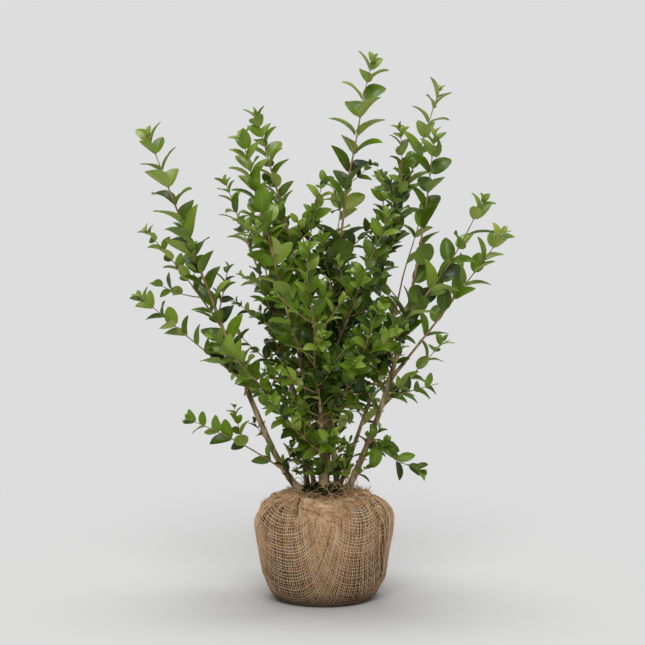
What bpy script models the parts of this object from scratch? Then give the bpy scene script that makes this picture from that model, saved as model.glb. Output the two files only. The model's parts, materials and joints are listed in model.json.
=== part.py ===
"""Privet shrub on a root ball wrapped in hessian.

Bare stems with a flat foot stand on the ball's gathered neck and fork into boughs. Each bough ends in a
mass of foliage: one stem that carries on from it, with twigs and opposite pairs of leaves fused on.
Metres, +Z up. The viewer of the photograph looks along +Y. The origin is the middle of the ball's flat
underside.
"""

import math
from collections import namedtuple

import bmesh
import bpy
import numpy as np
from mathutils import Vector
from mathutils.bvhtree import BVHTree

NAME = "privet_shrub"
SEED = 11

# Root ball: a flat underside, a belly, a shoulder and a gathered neck round a level seat of soil
FOOT_RADIUS = 0.079
BELLY_RADIUS = 0.1225
BELLY_HEIGHT = 0.140
NECK_RADIUS = 0.059
SEAT_HEIGHT = 0.190
SEAT_RADIUS = 0.053
RIM_RISE = 0.005
WALL_POWER = 0.6
WALL_SHARES = (0.82, 0.62, 0.42, 0.24, 0.10, 0.0)
SHOULDER_STEPS = 5
BALL_STEPS = 30

# Lumps of the ball's wall: how far they stand out, how many go round and where they begin
LUMP = 0.0035
SMALL_LUMP = 0.0021
LUMPS_ROUND = (2, 5)
LUMP_STARTS = (0.6, 2.1)
GATHER = 0.0140
GATHERS_ROUND = 7
GATHER_START = 0.9
LEVEL_MARGIN = 0.001

# Clear distance between neighbouring solids, and the distance within which corners are one
GAP = 0.0003
WELD = 0.00001

# Limbs
LIMB_ROUNDNESS = 2
LIMB_SIDES = 8
LIMB_STEP = 0.030
TAPER = 1.15
FLARE = 0.55
FLARE_HEIGHT = 0.014
AXIS_STEP = 0.004
SWAY = 0.0022
SWAY_PITCH = 0.17

# Finishes
BARK_COLOUR = (0.33, 0.26, 0.19)
BARK_ROUGHNESS = 0.85
LEAF_COLOUR = (0.10, 0.19, 0.045)
LEAF_ROUGHNESS = 0.45
HESSIAN_COLOUR = (0.46, 0.33, 0.21)
HESSIAN_ROUGHNESS = 0.95

# Foliage: twigs on the lower part of each leafy stem, pairs of leaves each turned a quarter from the last
TWIG_EVERY = 0.082
TWIG_ZONE = 0.62
TWIG_REACH = 0.105
TWIG_LEAVING = 52.0
TWIG_RISE = 0.25
TWIG_FIRST = 0.55
TWIG_SHORTENING = 0.6
TWIG_PLACE_SPREAD = 0.4
TWIG_TURN_SPREAD = 0.5
TWIG_REACH_SPREAD = 0.5
TWIG_WIDTH = 0.0036
TWIG_TIP_WIDTH = 0.0028
GOLDEN_ANGLE = 137.5
STEM_PAIRS_EVERY = 0.052
TWIG_PAIRS_EVERY = 0.043
STEM_LEAF = 0.066
TWIG_LEAF = 0.058
TIP_LEAF_SHARE = 0.62
TIP_LEAF_GROWTH = 0.25
LEAF_WIDTH = 0.54
LEAF_THICKNESS = 0.030
LEAF_FOLD = 0.09
LEAF_DROOP = 0.07
LEAF_WIDEST = 0.46
LEAF_ANGLE = 52.0
ROOT_DEPTH = 0.0015
LEAF_SINK = 0.0012
TWIG_STATIONS = 3
STEM_STEP = 0.055
FIRST_CORNER = (0.31, 0.95, 0.08)
LEAFLESS = 0.015
LEAFLESS_TWIG_SHARE = 0.35
LEAF_DRAWS = 100
LEAF_ANGLE_SPREAD = 14.0
LEAF_TURN_SPREAD = 0.25
LEAF_ROLL_SPREAD = 0.9
LEAF_SIZE_SPREAD = 0.2
TIP_CLOSING = 20.0
SHORT_SHOOT_SHARE = 0.62
FULL_SHOOT = 0.5

Plant = namedtuple("Plant", "canes axes numbers")
Cane = namedtuple("Cane", "name parent place heading leans turn length girths bare fused")


def cane(name, parent, place, heading, leans, turn, length, girths, bare=0.0, fused=False):
    """One stem or shoot: where it starts, the way it heads in plan, and how far it leans off upright.

    The parent is None for a stem that stands on the ball, and place is then its foot (x, y); otherwise
    place is the distance along the parent. Leans are at the foot and far out, and turn is the distance
    over which one eases into the other. The first stretch, bare, is a limb and the rest is foliage.
    A fused shoot belongs to its parent's mass.
    """
    return Cane(name, parent, place, heading, leans, turn, length, girths, bare, fused)


CANES = [
    cane("left_tall", None, (-0.036, -0.006), 180, (48, 21), 0.06, 0.705, (0.0120, 0.0034), bare=0.215),
    cane("left_arching", "left_tall", 0.232, 195, (52, 44), 0.50, 0.240, (0.0045, 0.0030), fused=True),
    cane("left_middle", "left_tall", 0.330, 170, (34, 56), 0.50, 0.230, (0.0045, 0.0030), fused=True),
    cane("low_left", "left_tall", 0.052, 192, (53, 105), 0.60, 0.200, (0.0050, 0.0032)),
    cane("inner_left", None, (-0.029, 0.016), 140, (8, 41), 0.60, 0.610, (0.0100, 0.0034), bare=0.185),
    cane("front_left_low", "inner_left", 0.085, 222, (36, 80), 0.60, 0.290, (0.0060, 0.0032), bare=0.075),
    cane("middle_left", None, (-0.003, -0.014), 168, (-6, 18), 0.24, 0.695, (0.0160, 0.0034), bare=0.270),
    cane("inner_short", "middle_left", 0.372, 300, (2, 36), 0.10, 0.215, (0.0045, 0.0030), fused=True),
    cane("front_left", "middle_left", 0.115, 215, (31, 17.5), 0.03, 0.545, (0.0085, 0.0034), bare=0.150),
    cane("front_right", "middle_left", 0.160, 315, (6, 29), 0.05, 0.380, (0.0070, 0.0034), bare=0.085),
    cane("front", "middle_left", 0.095, 262, (52, 27), 0.09, 0.415, (0.0070, 0.0034), bare=0.090),
    cane("front_low", "middle_left", 0.075, 238, (70, 48), 0.12, 0.205, (0.0050, 0.0032)),
    cane("tallest", None, (0.026, 0.010), 25, (-9, 22.5), 0.60, 0.770, (0.0105, 0.0034), bare=0.285),
    cane("right_tall", "tallest", 0.175, 18, (33, 20), 0.03, 0.585, (0.0080, 0.0034), bare=0.110),
    cane("right_side", "right_tall", 0.252, 300, (58, -45), 0.22, 0.265, (0.0045, 0.0030), fused=True),
    cane("right_arching", "right_tall", 0.065, 330, (66, 15), 0.30, 0.385, (0.0055, 0.0034)),
    cane("front_right_low", "tallest", 0.140, 290, (62, 42), 0.12, 0.310, (0.0060, 0.0034), bare=0.060),
    cane("right_upright", None, (0.039, -0.006), 0, (26, -5), 0.60, 0.665, (0.0120, 0.0034), bare=0.270),
    cane("far_right", "right_upright", 0.220, 350, (39, 34), 0.50, 0.315, (0.0070, 0.0032), bare=0.050),
    cane("low_right", "right_upright", 0.184, 10, (72, 92), 0.30, 0.105, (0.0045, 0.0032)),
    cane("lowest_right", "right_upright", 0.115, 335, (150, 100), 0.05, 0.115, (0.0045, 0.0032)),
    cane("back_right", None, (0.024, 0.028), 42, (32, 20), 0.14, 0.560, (0.0080, 0.0034), bare=0.200),
    cane("back_right_low", "back_right", 0.130, 40, (60, 46), 0.20, 0.255, (0.0055, 0.0032)),
    cane("back", None, (0.004, 0.033), 84, (18, 27), 0.20, 0.600, (0.0095, 0.0034), bare=0.205),
    cane("back_low", "back", 0.120, 65, (64, 50), 0.20, 0.290, (0.0055, 0.0032)),
    cane("back_left", None, (-0.016, 0.033), 118, (22, 29), 0.20, 0.580, (0.0085, 0.0034), bare=0.195),
    cane("back_left_low", "back_left", 0.125, 138, (62, 50), 0.20, 0.255, (0.0055, 0.0032)),
]


def clear_scene():
    for thing in list(bpy.data.objects):
        bpy.data.objects.remove(thing)


def collection(name):
    made = bpy.data.collections.new(name)
    bpy.context.scene.collection.children.link(made)
    return made


def material(name, colour, roughness):
    made = bpy.data.materials.new(name)
    made.use_nodes = True
    shader = made.node_tree.nodes["Principled BSDF"]
    shader.inputs["Base Color"].default_value = (*colour, 1.0)
    shader.inputs["Roughness"].default_value = roughness
    shader.inputs["Metallic"].default_value = 0.0
    made.diffuse_color = (*colour, 1.0)
    return made


def add_object(name, mesh, group):
    made = bpy.data.objects.new(name, mesh)
    group.objects.link(made)
    return made


def unit(vector):
    return vector / np.linalg.norm(vector)


# Axes of the canes


def cane_axis(row, axes):
    """Points along a cane: its lean eases from one value to the other while its heading stays.

    It also sways a little to its sides, and its heading sets where that wave begins.
    """
    count = int(round(row.length / AXIS_STEP)) + 1
    run = np.linspace(0.0, row.length, count)
    first, last = np.radians(row.leans)
    lean = last + (first - last) * np.exp(-run / row.turn)
    heading = math.radians(row.heading)
    outward = np.array([math.cos(heading), math.sin(heading), 0.0])
    sideways = np.array([-math.sin(heading), math.cos(heading), 0.0])
    upward = np.array([0.0, 0.0, 1.0])
    step = run[1]
    slopes = np.sin(lean)[:, None] * outward + np.cos(lean)[:, None] * upward
    points = np.vstack([np.zeros(3), np.cumsum(slopes[:-1] * step, axis=0)])
    sway = SWAY * (np.sin(2 * math.pi * run / SWAY_PITCH + row.heading) - math.sin(row.heading))
    points = points + sway[:, None] * sideways * np.clip(run / SWAY_PITCH, 0, 1)[:, None]
    return points + cane_start(row, axes)


def cane_start(row, axes):
    if row.parent is None:
        return np.array([row.place[0], row.place[1], SEAT_HEIGHT + GAP])
    return point_on(axes[row.parent], row.place)


def point_on(axis, distance):
    """The point at a distance along a line of points."""
    runs = run_along(axis)
    return np.array([np.interp(distance, runs, axis[:, side]) for side in range(3)])


def run_along(axis):
    steps = np.linalg.norm(np.diff(axis, axis=0), axis=1)
    return np.concatenate([[0.0], np.cumsum(steps)])


def tangent_on(axis, distance):
    ahead = point_on(axis, distance + AXIS_STEP)
    behind = point_on(axis, distance - AXIS_STEP)
    return unit(ahead - behind)


def radius_at(row, distance):
    """Half the cane's width: an even taper, with a flare at the foot of a stem that stands on the ball."""
    thick, thin = row.girths
    share = np.clip(distance / row.length, 0.0, 1.0)
    radius = 0.5 * (thin + (thick - thin) * (1.0 - share) ** TAPER)
    if row.parent is None:
        radius = radius * (1.0 + FLARE * np.exp(-np.asarray(distance) / FLARE_HEIGHT))
    return radius


# Meshes


def applied(thing):
    """An object's evaluated shape as a mesh of its own."""
    bpy.context.view_layer.update()
    evaluated = thing.evaluated_get(bpy.context.evaluated_depsgraph_get())
    return bpy.data.meshes.new_from_object(evaluated)


def mesh_from(work, name):
    mesh = bpy.data.meshes.new(name)
    work.to_mesh(mesh)
    work.free()
    return mesh


def work_from(mesh):
    work = bmesh.new()
    work.from_mesh(mesh)
    return work


def stations(start, stop, step):
    count = max(2, int(round((stop - start) / step)) + 1)
    return np.linspace(start, stop, count)


def limb_stations(row):
    """Distances of a limb's rings: closer in the flare of a stem that stands on the ball."""
    runs = stations(0.0, row.bare, LIMB_STEP)
    if row.parent is not None:
        return runs
    return np.concatenate([[-FLARE_HEIGHT, 0.0, 0.5 * FLARE_HEIGHT, FLARE_HEIGHT], runs[1:]])


def limb_solid(row, axis, group, grow=0.0):
    """A round limb along its axis: a curve with a radius at each point, made a mesh, its caps welded.

    Below the foot of a stem on the ball the first stretch carries on in line, for the level cut.
    """
    curve = bpy.data.curves.new("limb", "CURVE")
    curve.dimensions = "3D"
    curve.bevel_depth = 1.0
    curve.bevel_resolution = LIMB_ROUNDNESS
    curve.use_fill_caps = True
    spline = curve.splines.new("POLY")
    runs = limb_stations(row)
    spline.points.add(len(runs) - 1)
    root = unit(point_on(axis, AXIS_STEP) - axis[0])
    for point, run in zip(spline.points, runs):
        place = point_on(axis, max(run, 0.0)) + min(run, 0.0) * root
        point.co = (*place, 1.0)
        point.radius = float(radius_at(row, max(run, 0.0))) + grow
    drawn = add_object("limb", curve, group)
    work = work_from(applied(drawn))
    bpy.data.objects.remove(drawn)
    bmesh.ops.remove_doubles(work, verts=work.verts[:], dist=WELD)
    bmesh.ops.recalc_face_normals(work, faces=work.faces[:])
    return work


def cut_flat(work, height):
    """Cuts a tube level at a height and closes the cut."""
    everything = work.verts[:] + work.edges[:] + work.faces[:]
    level = {"plane_co": (0, 0, height), "plane_no": (0, 0, 1), "clear_inner": True}
    bmesh.ops.bisect_plane(work, geom=everything, **level)
    rim = [edge for edge in work.edges if edge.is_boundary]
    bmesh.ops.edgeloop_fill(work, edges=rim)
    bmesh.ops.recalc_face_normals(work, faces=work.faces[:])


def three_sided_tube(points, radii):
    """A closed three-sided tube: rings square to the path, each turned as little as can be from the last."""
    tangents = np.gradient(points, axis=0)
    tangents = tangents / np.linalg.norm(tangents, axis=1)[:, None]
    side = unit(np.cross(tangents[0], FIRST_CORNER))
    work = bmesh.new()
    rings = []
    for point, tangent, radius in zip(points, tangents, radii):
        side = unit(side - tangent * np.dot(side, tangent))
        other = np.cross(tangent, side)
        turns = 2 * math.pi * np.arange(3) / 3
        ring = [point + radius * (math.cos(turn) * side + math.sin(turn) * other) for turn in turns]
        rings.append([work.verts.new(corner) for corner in ring])
    for low, high in zip(rings, rings[1:]):
        for index in range(3):
            after = (index + 1) % 3
            work.faces.new((low[index], low[after], high[after], high[index]))
    work.faces.new(list(reversed(rings[0])))
    work.faces.new(rings[-1])
    return work


def apply_boolean(target, operation, solver, cutter=None, group=None):
    """Applies one Boolean to an object and takes the result as its mesh."""
    modifier = target.modifiers.new("join", "BOOLEAN")
    modifier.operation = operation
    modifier.solver = solver
    if group is None:
        modifier.object = cutter
    else:
        modifier.operand_type = "COLLECTION"
        modifier.collection = group
    result = applied(target)
    target.modifiers.remove(modifier)
    target.data = result


def cut_clear(target, row, plant, cutters):
    """Cuts a side shoot's foot to its parent limb's own surface, one gap away from it."""
    parent = plant.canes[row.parent]
    work = limb_solid(parent, plant.axes[parent.name], cutters, grow=GAP / math.cos(math.pi / LIMB_SIDES))
    cutter = add_object("cutter", mesh_from(work, "cutter"), cutters)
    cutter.hide_render = True
    cutter.display_type = "WIRE"
    apply_boolean(target, "DIFFERENCE", "EXACT", cutter=cutter)
    bpy.data.objects.remove(cutter)


# Root ball


def ball_profile():
    """Radius and height from the middle of the seat, over the rim and down to the middle of the foot.

    Over the shoulder it is a quarter ellipse from the neck to the belly. Below, the wall draws in as a
    power of a sine, slowly under the belly and fast at the foot.
    """
    top = [(0.0, SEAT_HEIGHT), (SEAT_RADIUS, SEAT_HEIGHT)]
    top.append((0.5 * (SEAT_RADIUS + NECK_RADIUS), SEAT_HEIGHT + RIM_RISE))
    for turn in np.radians(np.linspace(90.0, 0.0, SHOULDER_STEPS + 1)):
        radius = NECK_RADIUS + (BELLY_RADIUS - NECK_RADIUS) * math.cos(turn)
        top.append((radius, BELLY_HEIGHT + (SEAT_HEIGHT - BELLY_HEIGHT) * math.sin(turn)))
    wall = []
    for share in WALL_SHARES:
        swell = math.sin(0.5 * math.pi * share) ** WALL_POWER
        wall.append((FOOT_RADIUS + (BELLY_RADIUS - FOOT_RADIUS) * swell, share * BELLY_HEIGHT))
    return top + wall + [(0.0, 0.0)]


def root_ball(group):
    """A turned ball whose wall swells in a few soft lumps and whose neck is drawn into gathers."""
    profile = ball_profile()
    mesh = bpy.data.meshes.new("root_ball")
    corners = [(radius, 0.0, height) for radius, height in profile]
    mesh.from_pydata(corners, [(index, index + 1) for index in range(len(profile) - 1)], [])
    made = add_object("root_ball", mesh, group)
    turned = made.modifiers.new("turned", "SCREW")
    turned.axis = "Z"
    turned.steps = BALL_STEPS
    turned.render_steps = BALL_STEPS
    turned.use_merge_vertices = True
    turned.merge_threshold = WELD
    work = work_from(applied(made))
    made.modifiers.remove(turned)
    bmesh.ops.remove_doubles(work, verts=work.verts[:], dist=WELD)
    for vert in work.verts:
        vert.co = ball_swell(vert.co)
    bmesh.ops.recalc_face_normals(work, faces=work.faces[:])
    made.data = mesh_from(work, "root_ball")
    finish_solid(made, "hessian", HESSIAN_COLOUR, HESSIAN_ROUGHNESS)


def ball_swell(point):
    """Moves a point of the ball in or out, but leaves the seat and the flat underside as they are."""
    radius = math.hypot(point.x, point.y)
    turn = math.atan2(point.y, point.x)
    if radius < SEAT_RADIUS + LEVEL_MARGIN or point.z < LEVEL_MARGIN:
        return point
    wall = math.sin(math.pi * min(point.z / SEAT_HEIGHT, 1.0))
    few, many = [math.sin(count * turn + start) for count, start in zip(LUMPS_ROUND, LUMP_STARTS)]
    neck = max(0.0, min(1.0, (point.z - BELLY_HEIGHT) / (SEAT_HEIGHT - BELLY_HEIGHT)))
    gathers = GATHER * neck * (1.0 - neck) * math.sin(GATHERS_ROUND * turn + GATHER_START)
    share = (radius + wall * (LUMP * few + SMALL_LUMP * many) + gathers) / radius
    return Vector((point.x * share, point.y * share, point.z))


# Leaves and twigs


def leaf_frame(tangent, outward, angle, roll):
    """The way a blade runs, its side and its upper face, which looks back at the stem."""
    along = math.cos(angle) * tangent + math.sin(angle) * outward
    upper = math.sin(angle) * tangent - math.cos(angle) * outward
    side = np.cross(along, upper)
    turned = math.cos(roll) * side + math.sin(roll) * upper
    return along, turned, np.cross(turned, along)


def leaf_solid(root, frame, length):
    """Eight faces: a pointed blade folded up a little along its midrib, its tip bent down."""
    along, side, upper = frame
    half = 0.5 * LEAF_WIDTH * length
    middle = root + LEAF_WIDEST * length * along
    corners = [
        root,
        root + length * along - LEAF_DROOP * length * upper,
        middle + half * side + LEAF_FOLD * length * upper,
        middle - half * side + LEAF_FOLD * length * upper,
        middle + 0.5 * LEAF_THICKNESS * length * upper,
        middle - 0.5 * LEAF_THICKNESS * length * upper,
    ]
    work = bmesh.new()
    base, tip, right, left, top, under = [work.verts.new(corner) for corner in corners]
    for edge in (right, left):
        for face in (top, under):
            work.faces.new((base, edge, face))
            work.faces.new((tip, edge, face))
    bmesh.ops.recalc_face_normals(work, faces=work.faces[:])
    return work


def around(tangent, turn):
    """A direction square to a stem; at no turn it keeps as near to the X axis as it can."""
    flat = np.array([1.0, 0.0, 0.0])
    first = unit(flat - tangent * np.dot(flat, tangent))
    return math.cos(turn) * first + math.sin(turn) * np.cross(tangent, first)


def spread(chance, width):
    return width * (chance.random() - 0.5)


def leaf_pairs(axis, start, spacing, size, chance, first_turn):
    """Solids for the pairs of leaves along a stem, from its tip down, each a quarter turn from the last."""
    stop = run_along(axis)[-1]
    count = max(1, int(round((stop - start) / spacing)))
    solids = []
    for index in range(count):
        place = stop - (stop - start) * index / count
        tangent = tangent_on(axis, min(place, stop - AXIS_STEP))
        root = point_on(axis, place - ROOT_DEPTH)
        grown = min(1.0, TIP_LEAF_SHARE + TIP_LEAF_GROWTH * index)
        closing = TIP_CLOSING if index == 0 else 0.0
        for half in range(2):
            turn = first_turn + math.pi * (half + 0.5 * index) + spread(chance, LEAF_TURN_SPREAD)
            angle = math.radians(LEAF_ANGLE - closing + spread(chance, LEAF_ANGLE_SPREAD))
            length = size * grown * (1.0 + spread(chance, LEAF_SIZE_SPREAD))
            roll = spread(chance, LEAF_ROLL_SPREAD)
            frame = leaf_frame(tangent, around(tangent, turn), angle, roll)
            solids.append(leaf_solid(root - LEAF_SINK * frame[0], frame, length))
    return solids


def twig_axis(start, tangent, turn, reach):
    """A twig leaves its stem at a wide angle and rises along its length."""
    out = around(tangent, turn)
    angle = math.radians(TWIG_LEAVING)
    direction = math.cos(angle) * tangent + math.sin(angle) * out
    share = np.linspace(0.0, 1.0, TWIG_STATIONS)
    rise = TWIG_RISE * reach * share ** 2
    return start + share[:, None] * reach * direction + rise[:, None] * np.array([0.0, 0.0, 1.0])


def twig_solid(line):
    return three_sided_tube(line, np.linspace(0.5 * TWIG_WIDTH, 0.5 * TWIG_TIP_WIDTH, TWIG_STATIONS))


def twigs_of(row, number):
    """Starting place, turn and reach of each twig on a cane, by a golden angle and a seeded spread."""
    chance = np.random.default_rng([SEED, number])
    leafy = row.length - row.bare
    count = int(TWIG_ZONE * leafy / TWIG_EVERY)
    found = []
    for index in range(count):
        share = TWIG_ZONE * (index + TWIG_FIRST + spread(chance, TWIG_PLACE_SPREAD)) / count
        turn = math.radians(GOLDEN_ANGLE) * (index + number) + spread(chance, TWIG_TURN_SPREAD)
        reach = TWIG_REACH * (1.0 - TWIG_SHORTENING * share) * (1.0 + spread(chance, TWIG_REACH_SPREAD))
        found.append((row.bare + share * leafy, turn, reach))
    return found


def vigour(row):
    """Short shoots carry smaller leaves, closer together."""
    return SHORT_SHOOT_SHARE + (1.0 - SHORT_SHOOT_SHARE) * min(1.0, row.length / FULL_SHOOT)


def leafy_line(row, axis):
    """The middle line of a mass's stem, in short straight stretches, with its radii.

    It starts one gap past the limb that carries it.
    """
    start = row.bare + GAP if row.bare else 0.0
    runs = stations(start, row.length, STEM_STEP)
    line = np.array([point_on(axis, run) for run in runs])
    return line, [float(radius_at(row, run)) for run in runs]


def leafy_stem(row, axis):
    return three_sided_tube(*leafy_line(row, axis))


# Keeping each mass to its own space


def search_tree(work, grow):
    """A search tree of a solid's faces, with the solid swollen by a distance first."""
    work.normal_update()
    work.verts.index_update()
    corners = [vert.co + vert.normal * grow for vert in work.verts]
    faces = [[vert.index for vert in face.verts] for face in work.faces]
    return BVHTree.FromPolygons(corners, faces)


def touches(work, others):
    own = search_tree(work, 2 * GAP)
    return any(own.overlap(other) for other in others)


def keep_largest(mesh):
    """Drops every loose scrap but the largest piece of a mesh, and cuts its faces into triangles."""
    work = work_from(mesh)
    left = set(work.verts)
    groups = []
    while left:
        waiting = [left.pop()]
        group = set(waiting)
        while waiting:
            vert = waiting.pop()
            near = {edge.other_vert(vert) for edge in vert.link_edges} & left
            left -= near
            group |= near
            waiting.extend(near)
        groups.append(group)
    groups.sort(key=len)
    for group in groups[:-1]:
        bmesh.ops.delete(work, geom=list(group), context="VERTS")
    bmesh.ops.triangulate(work, faces=work.faces[:])
    work.to_mesh(mesh)
    work.free()


def shoot_pieces(row, axis, number, others):
    """The leaves and twigs of one stem; a twig or leaf that would touch another's space is skipped."""
    chance = np.random.default_rng([SEED, LEAF_DRAWS + number])
    first = LEAFLESS if row.bare else 2 * LEAFLESS
    size = vigour(row)
    stem = leafy_line(row, axis)[0]
    pieces = leaf_pairs(stem, first, STEM_PAIRS_EVERY * size, STEM_LEAF * size, chance, 0.0)
    for place, turn, reach in twigs_of(row, number):
        line = twig_axis(point_on(stem, place - row.bare), tangent_on(axis, place), turn, reach)
        twig = twig_solid(line)
        leaves = leaf_pairs(line, LEAFLESS_TWIG_SHARE * reach, TWIG_PAIRS_EVERY, TWIG_LEAF, chance, turn)
        if touches(twig, others):
            continue
        pieces.append(twig)
        pieces.extend(leaves)
    return [piece for piece in pieces if not touches(piece, others)]


def grow_mass(leader, plant, others, group, cutters):
    """One mass of foliage, joined into one solid: a stem, its side shoots, their twigs and leaves."""
    axis = plant.axes[leader.name]
    stem = add_object("foliage_" + leader.name, mesh_from(leafy_stem(leader, axis), "stem"), group)
    pieces = shoot_pieces(leader, axis, plant.numbers[leader.name], others)
    for row in side_shoots(leader):
        pieces.append(leafy_stem(row, plant.axes[row.name]))
        pieces.extend(shoot_pieces(row, plant.axes[row.name], plant.numbers[row.name], others))
    trees = [search_tree(piece, GAP) for piece in pieces]
    joined = collection("joined")
    for piece in pieces:
        add_object("piece", mesh_from(piece, "piece"), joined)
    apply_boolean(stem, "UNION", "MANIFOLD", group=joined)
    for piece in list(joined.objects):
        bpy.data.objects.remove(piece)
    bpy.data.collections.remove(joined)
    if leader.parent is not None and not leader.bare:
        cut_clear(stem, leader, plant, cutters)
    finish_solid(stem, "leaves", LEAF_COLOUR, LEAF_ROUGHNESS)
    return trees


def side_shoots(leader):
    return [row for row in CANES if row.fused and row.parent == leader.name]


def grow_limb(row, plant, group, cutters):
    """The bare part of a cane: cut flat at its foot, or cut clear of the limb that it springs from."""
    work = limb_solid(row, plant.axes[row.name], group)
    if row.parent is None:
        cut_flat(work, SEAT_HEIGHT + GAP)
    limb = add_object("stem_" + row.name, mesh_from(work, "limb"), group)
    if row.parent is not None:
        cut_clear(limb, row, plant, cutters)
    finish_solid(limb, "bark", BARK_COLOUR, BARK_ROUGHNESS)


def finish_solid(thing, finish, colour, roughness):
    keep_largest(thing.data)
    thing.data.materials.clear()
    thing.data.materials.append(material(finish + "_" + thing.name, colour, roughness))


def wood_trees(row, axis, group):
    """Search trees of a cane's limb and of its leafy stem, which every other mass keeps clear of."""
    trees = []
    if row.bare:
        trees.append(search_tree(limb_solid(row, axis, group), 2 * GAP))
    trees.append(search_tree(leafy_stem(row, axis), 3 * GAP))
    return trees


def main():
    clear_scene()
    group = collection(NAME)
    cutters = collection("cutters")
    canes = {row.name: row for row in CANES}
    numbers = {row.name: index for index, row in enumerate(CANES)}
    axes = {}
    for row in CANES:
        axes[row.name] = cane_axis(row, axes)
    plant = Plant(canes, axes, numbers)
    root_ball(group)
    for row in CANES:
        if row.bare:
            grow_limb(row, plant, group, cutters)
    wood = {row.name: wood_trees(row, axes[row.name], cutters) for row in CANES}
    grown = []
    for leader in CANES:
        if leader.fused:
            continue
        own = [leader.name] + [row.name for row in side_shoots(leader)]
        others = [tree for name, trees in wood.items() if name not in own for tree in trees]
        if leader.bare:
            others.append(wood[leader.name][0])
        grown.extend(grow_mass(leader, plant, others + grown, group, cutters))


main()
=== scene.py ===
"""Privet shrub on a root ball wrapped in hessian: bark, leaves, woven wrap, soil and dry roots.

The canes and the ball repeat the part's own rule, in metres, +Z up, with the viewer of the photograph
looking along +Y. The rule is then carried on to more and smaller twigs and leaves.
"""

import json
import math
from collections import namedtuple

import bpy
import numpy as np
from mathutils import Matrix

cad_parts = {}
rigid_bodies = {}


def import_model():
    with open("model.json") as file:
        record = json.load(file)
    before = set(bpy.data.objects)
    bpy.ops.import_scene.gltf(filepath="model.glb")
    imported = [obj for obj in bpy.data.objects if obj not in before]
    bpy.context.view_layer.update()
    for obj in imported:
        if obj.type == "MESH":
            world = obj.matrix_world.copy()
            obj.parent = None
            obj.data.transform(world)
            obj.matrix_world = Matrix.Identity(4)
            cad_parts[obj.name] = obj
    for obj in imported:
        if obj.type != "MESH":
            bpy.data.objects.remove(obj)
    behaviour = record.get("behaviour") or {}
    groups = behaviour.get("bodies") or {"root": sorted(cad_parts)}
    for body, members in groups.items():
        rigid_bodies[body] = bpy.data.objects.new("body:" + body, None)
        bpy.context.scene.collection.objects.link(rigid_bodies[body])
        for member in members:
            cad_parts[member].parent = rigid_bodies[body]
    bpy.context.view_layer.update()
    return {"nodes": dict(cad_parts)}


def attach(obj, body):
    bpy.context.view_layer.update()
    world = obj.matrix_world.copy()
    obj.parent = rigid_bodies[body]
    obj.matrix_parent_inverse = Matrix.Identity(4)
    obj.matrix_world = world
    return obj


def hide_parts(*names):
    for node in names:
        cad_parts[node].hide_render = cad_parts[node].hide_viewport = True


SEED = 11
FULL_TURN = 2 * math.pi
UPRIGHT = np.array([0.0, 0.0, 1.0])

# Root ball
FOOT_RADIUS = 0.079
BELLY_RADIUS = 0.1225
BELLY_HEIGHT = 0.140
NECK_RADIUS = 0.059
SEAT_HEIGHT = 0.190
SEAT_RADIUS = 0.053
RIM_RISE = 0.005
WALL_POWER = 0.6
LUMP = 0.0035
SMALL_LUMP = 0.0021
LUMPS_ROUND = (2, 5)
LUMP_STARTS = (0.6, 2.1)
GATHER = 0.0140
GATHERS_ROUND = 7
GATHER_START = 0.9

# Canes
GAP = 0.0003
TAPER = 1.15
FLARE = 0.55
FLARE_HEIGHT = 0.014
AXIS_STEP = 0.004
SWAY = 0.0022
SWAY_PITCH = 0.17
SHORT_SHOOT_SHARE = 0.62
FULL_SHOOT = 0.5

# Twigs, and sprigs on the bare limbs
GOLDEN_ANGLE = math.radians(137.5)
TWIG_ZONE = 0.62
TWIG_REACH = 0.105
TWIG_LEAVING = 52.0
TWIG_RISE = 0.25
TWIG_SHORTENING = 0.6
TWIG_POINTS = 9
TWIG_SIDES = 6
TWIG_SLIMNESS = 0.0105
TWIG_LEAST_RADIUS = 0.0004
TWIG_RADII = (0.0008, 0.0016)
TWIG_TIP = 0.55
SPRIG_DRAWS = 400
SPRIG_REACH = 0.075
SPRIG_CROWDING = 1.2
SPRIG_TURN_SPREAD = 1.0
SPRIG_REACH_SPREAD = 0.5
LOWEST_SPRIG = 0.07
SHORTEST_SPRIG = 0.4

# Leaves, in opposite pairs that each turn a quarter from the last
LEAF_DRAWS = 300
STEM_PAIRS_EVERY = 0.0330
TWIG_PAIRS_EVERY = 0.0205
STEM_PAIRS_FROM = 0.008
STEM_POINTS = 60
TWIG_PAIRS_FROM = 0.2
STEM_LEAF = 0.062
TWIG_LEAF = 0.038
SPRIG_LEAF = 0.035
SMALLEST_SPRAY = 0.85
SPRAY_SIZE_SPREAD = 0.3
TIP_LEAF_LOSS = 0.62
TIP_LEAF_PAIRS = 1.9
STEM_TIP_GAP = 0.42
TWIG_TIP_GAP = 0.60
TIP_GAP_GROWTH = 0.28
LEAF_UPTURN = 0.12
LEAF_ANGLE = 39.0
LEAF_ANGLE_SPREAD = 20.0
LEAF_TURN_SPREAD = 0.5
LEAF_ROLL_SPREAD = 0.9
LEAF_SIZE_SPREAD = 0.24
LEAF_MIDDLE = 0.55
TIP_CLOSING = 12.0
TIP_CLOSING_LOSS = 8.0
FIRST_TURN = 0.5 * math.pi
FIRST_TURN_ASIDE = 0.4
FIRST_TURN_SPREAD = 0.4

# The light that leaves turn to, in front and above, and more to the outside further out
LIGHT_TURNING = 0.60
LIGHT_FROM = np.array([0.0, -0.38, 0.75])
LIGHT_OUTWARD = np.array([1.2, 2.4, 0.0])
LIGHT_SPREAD = 0.7

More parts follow.
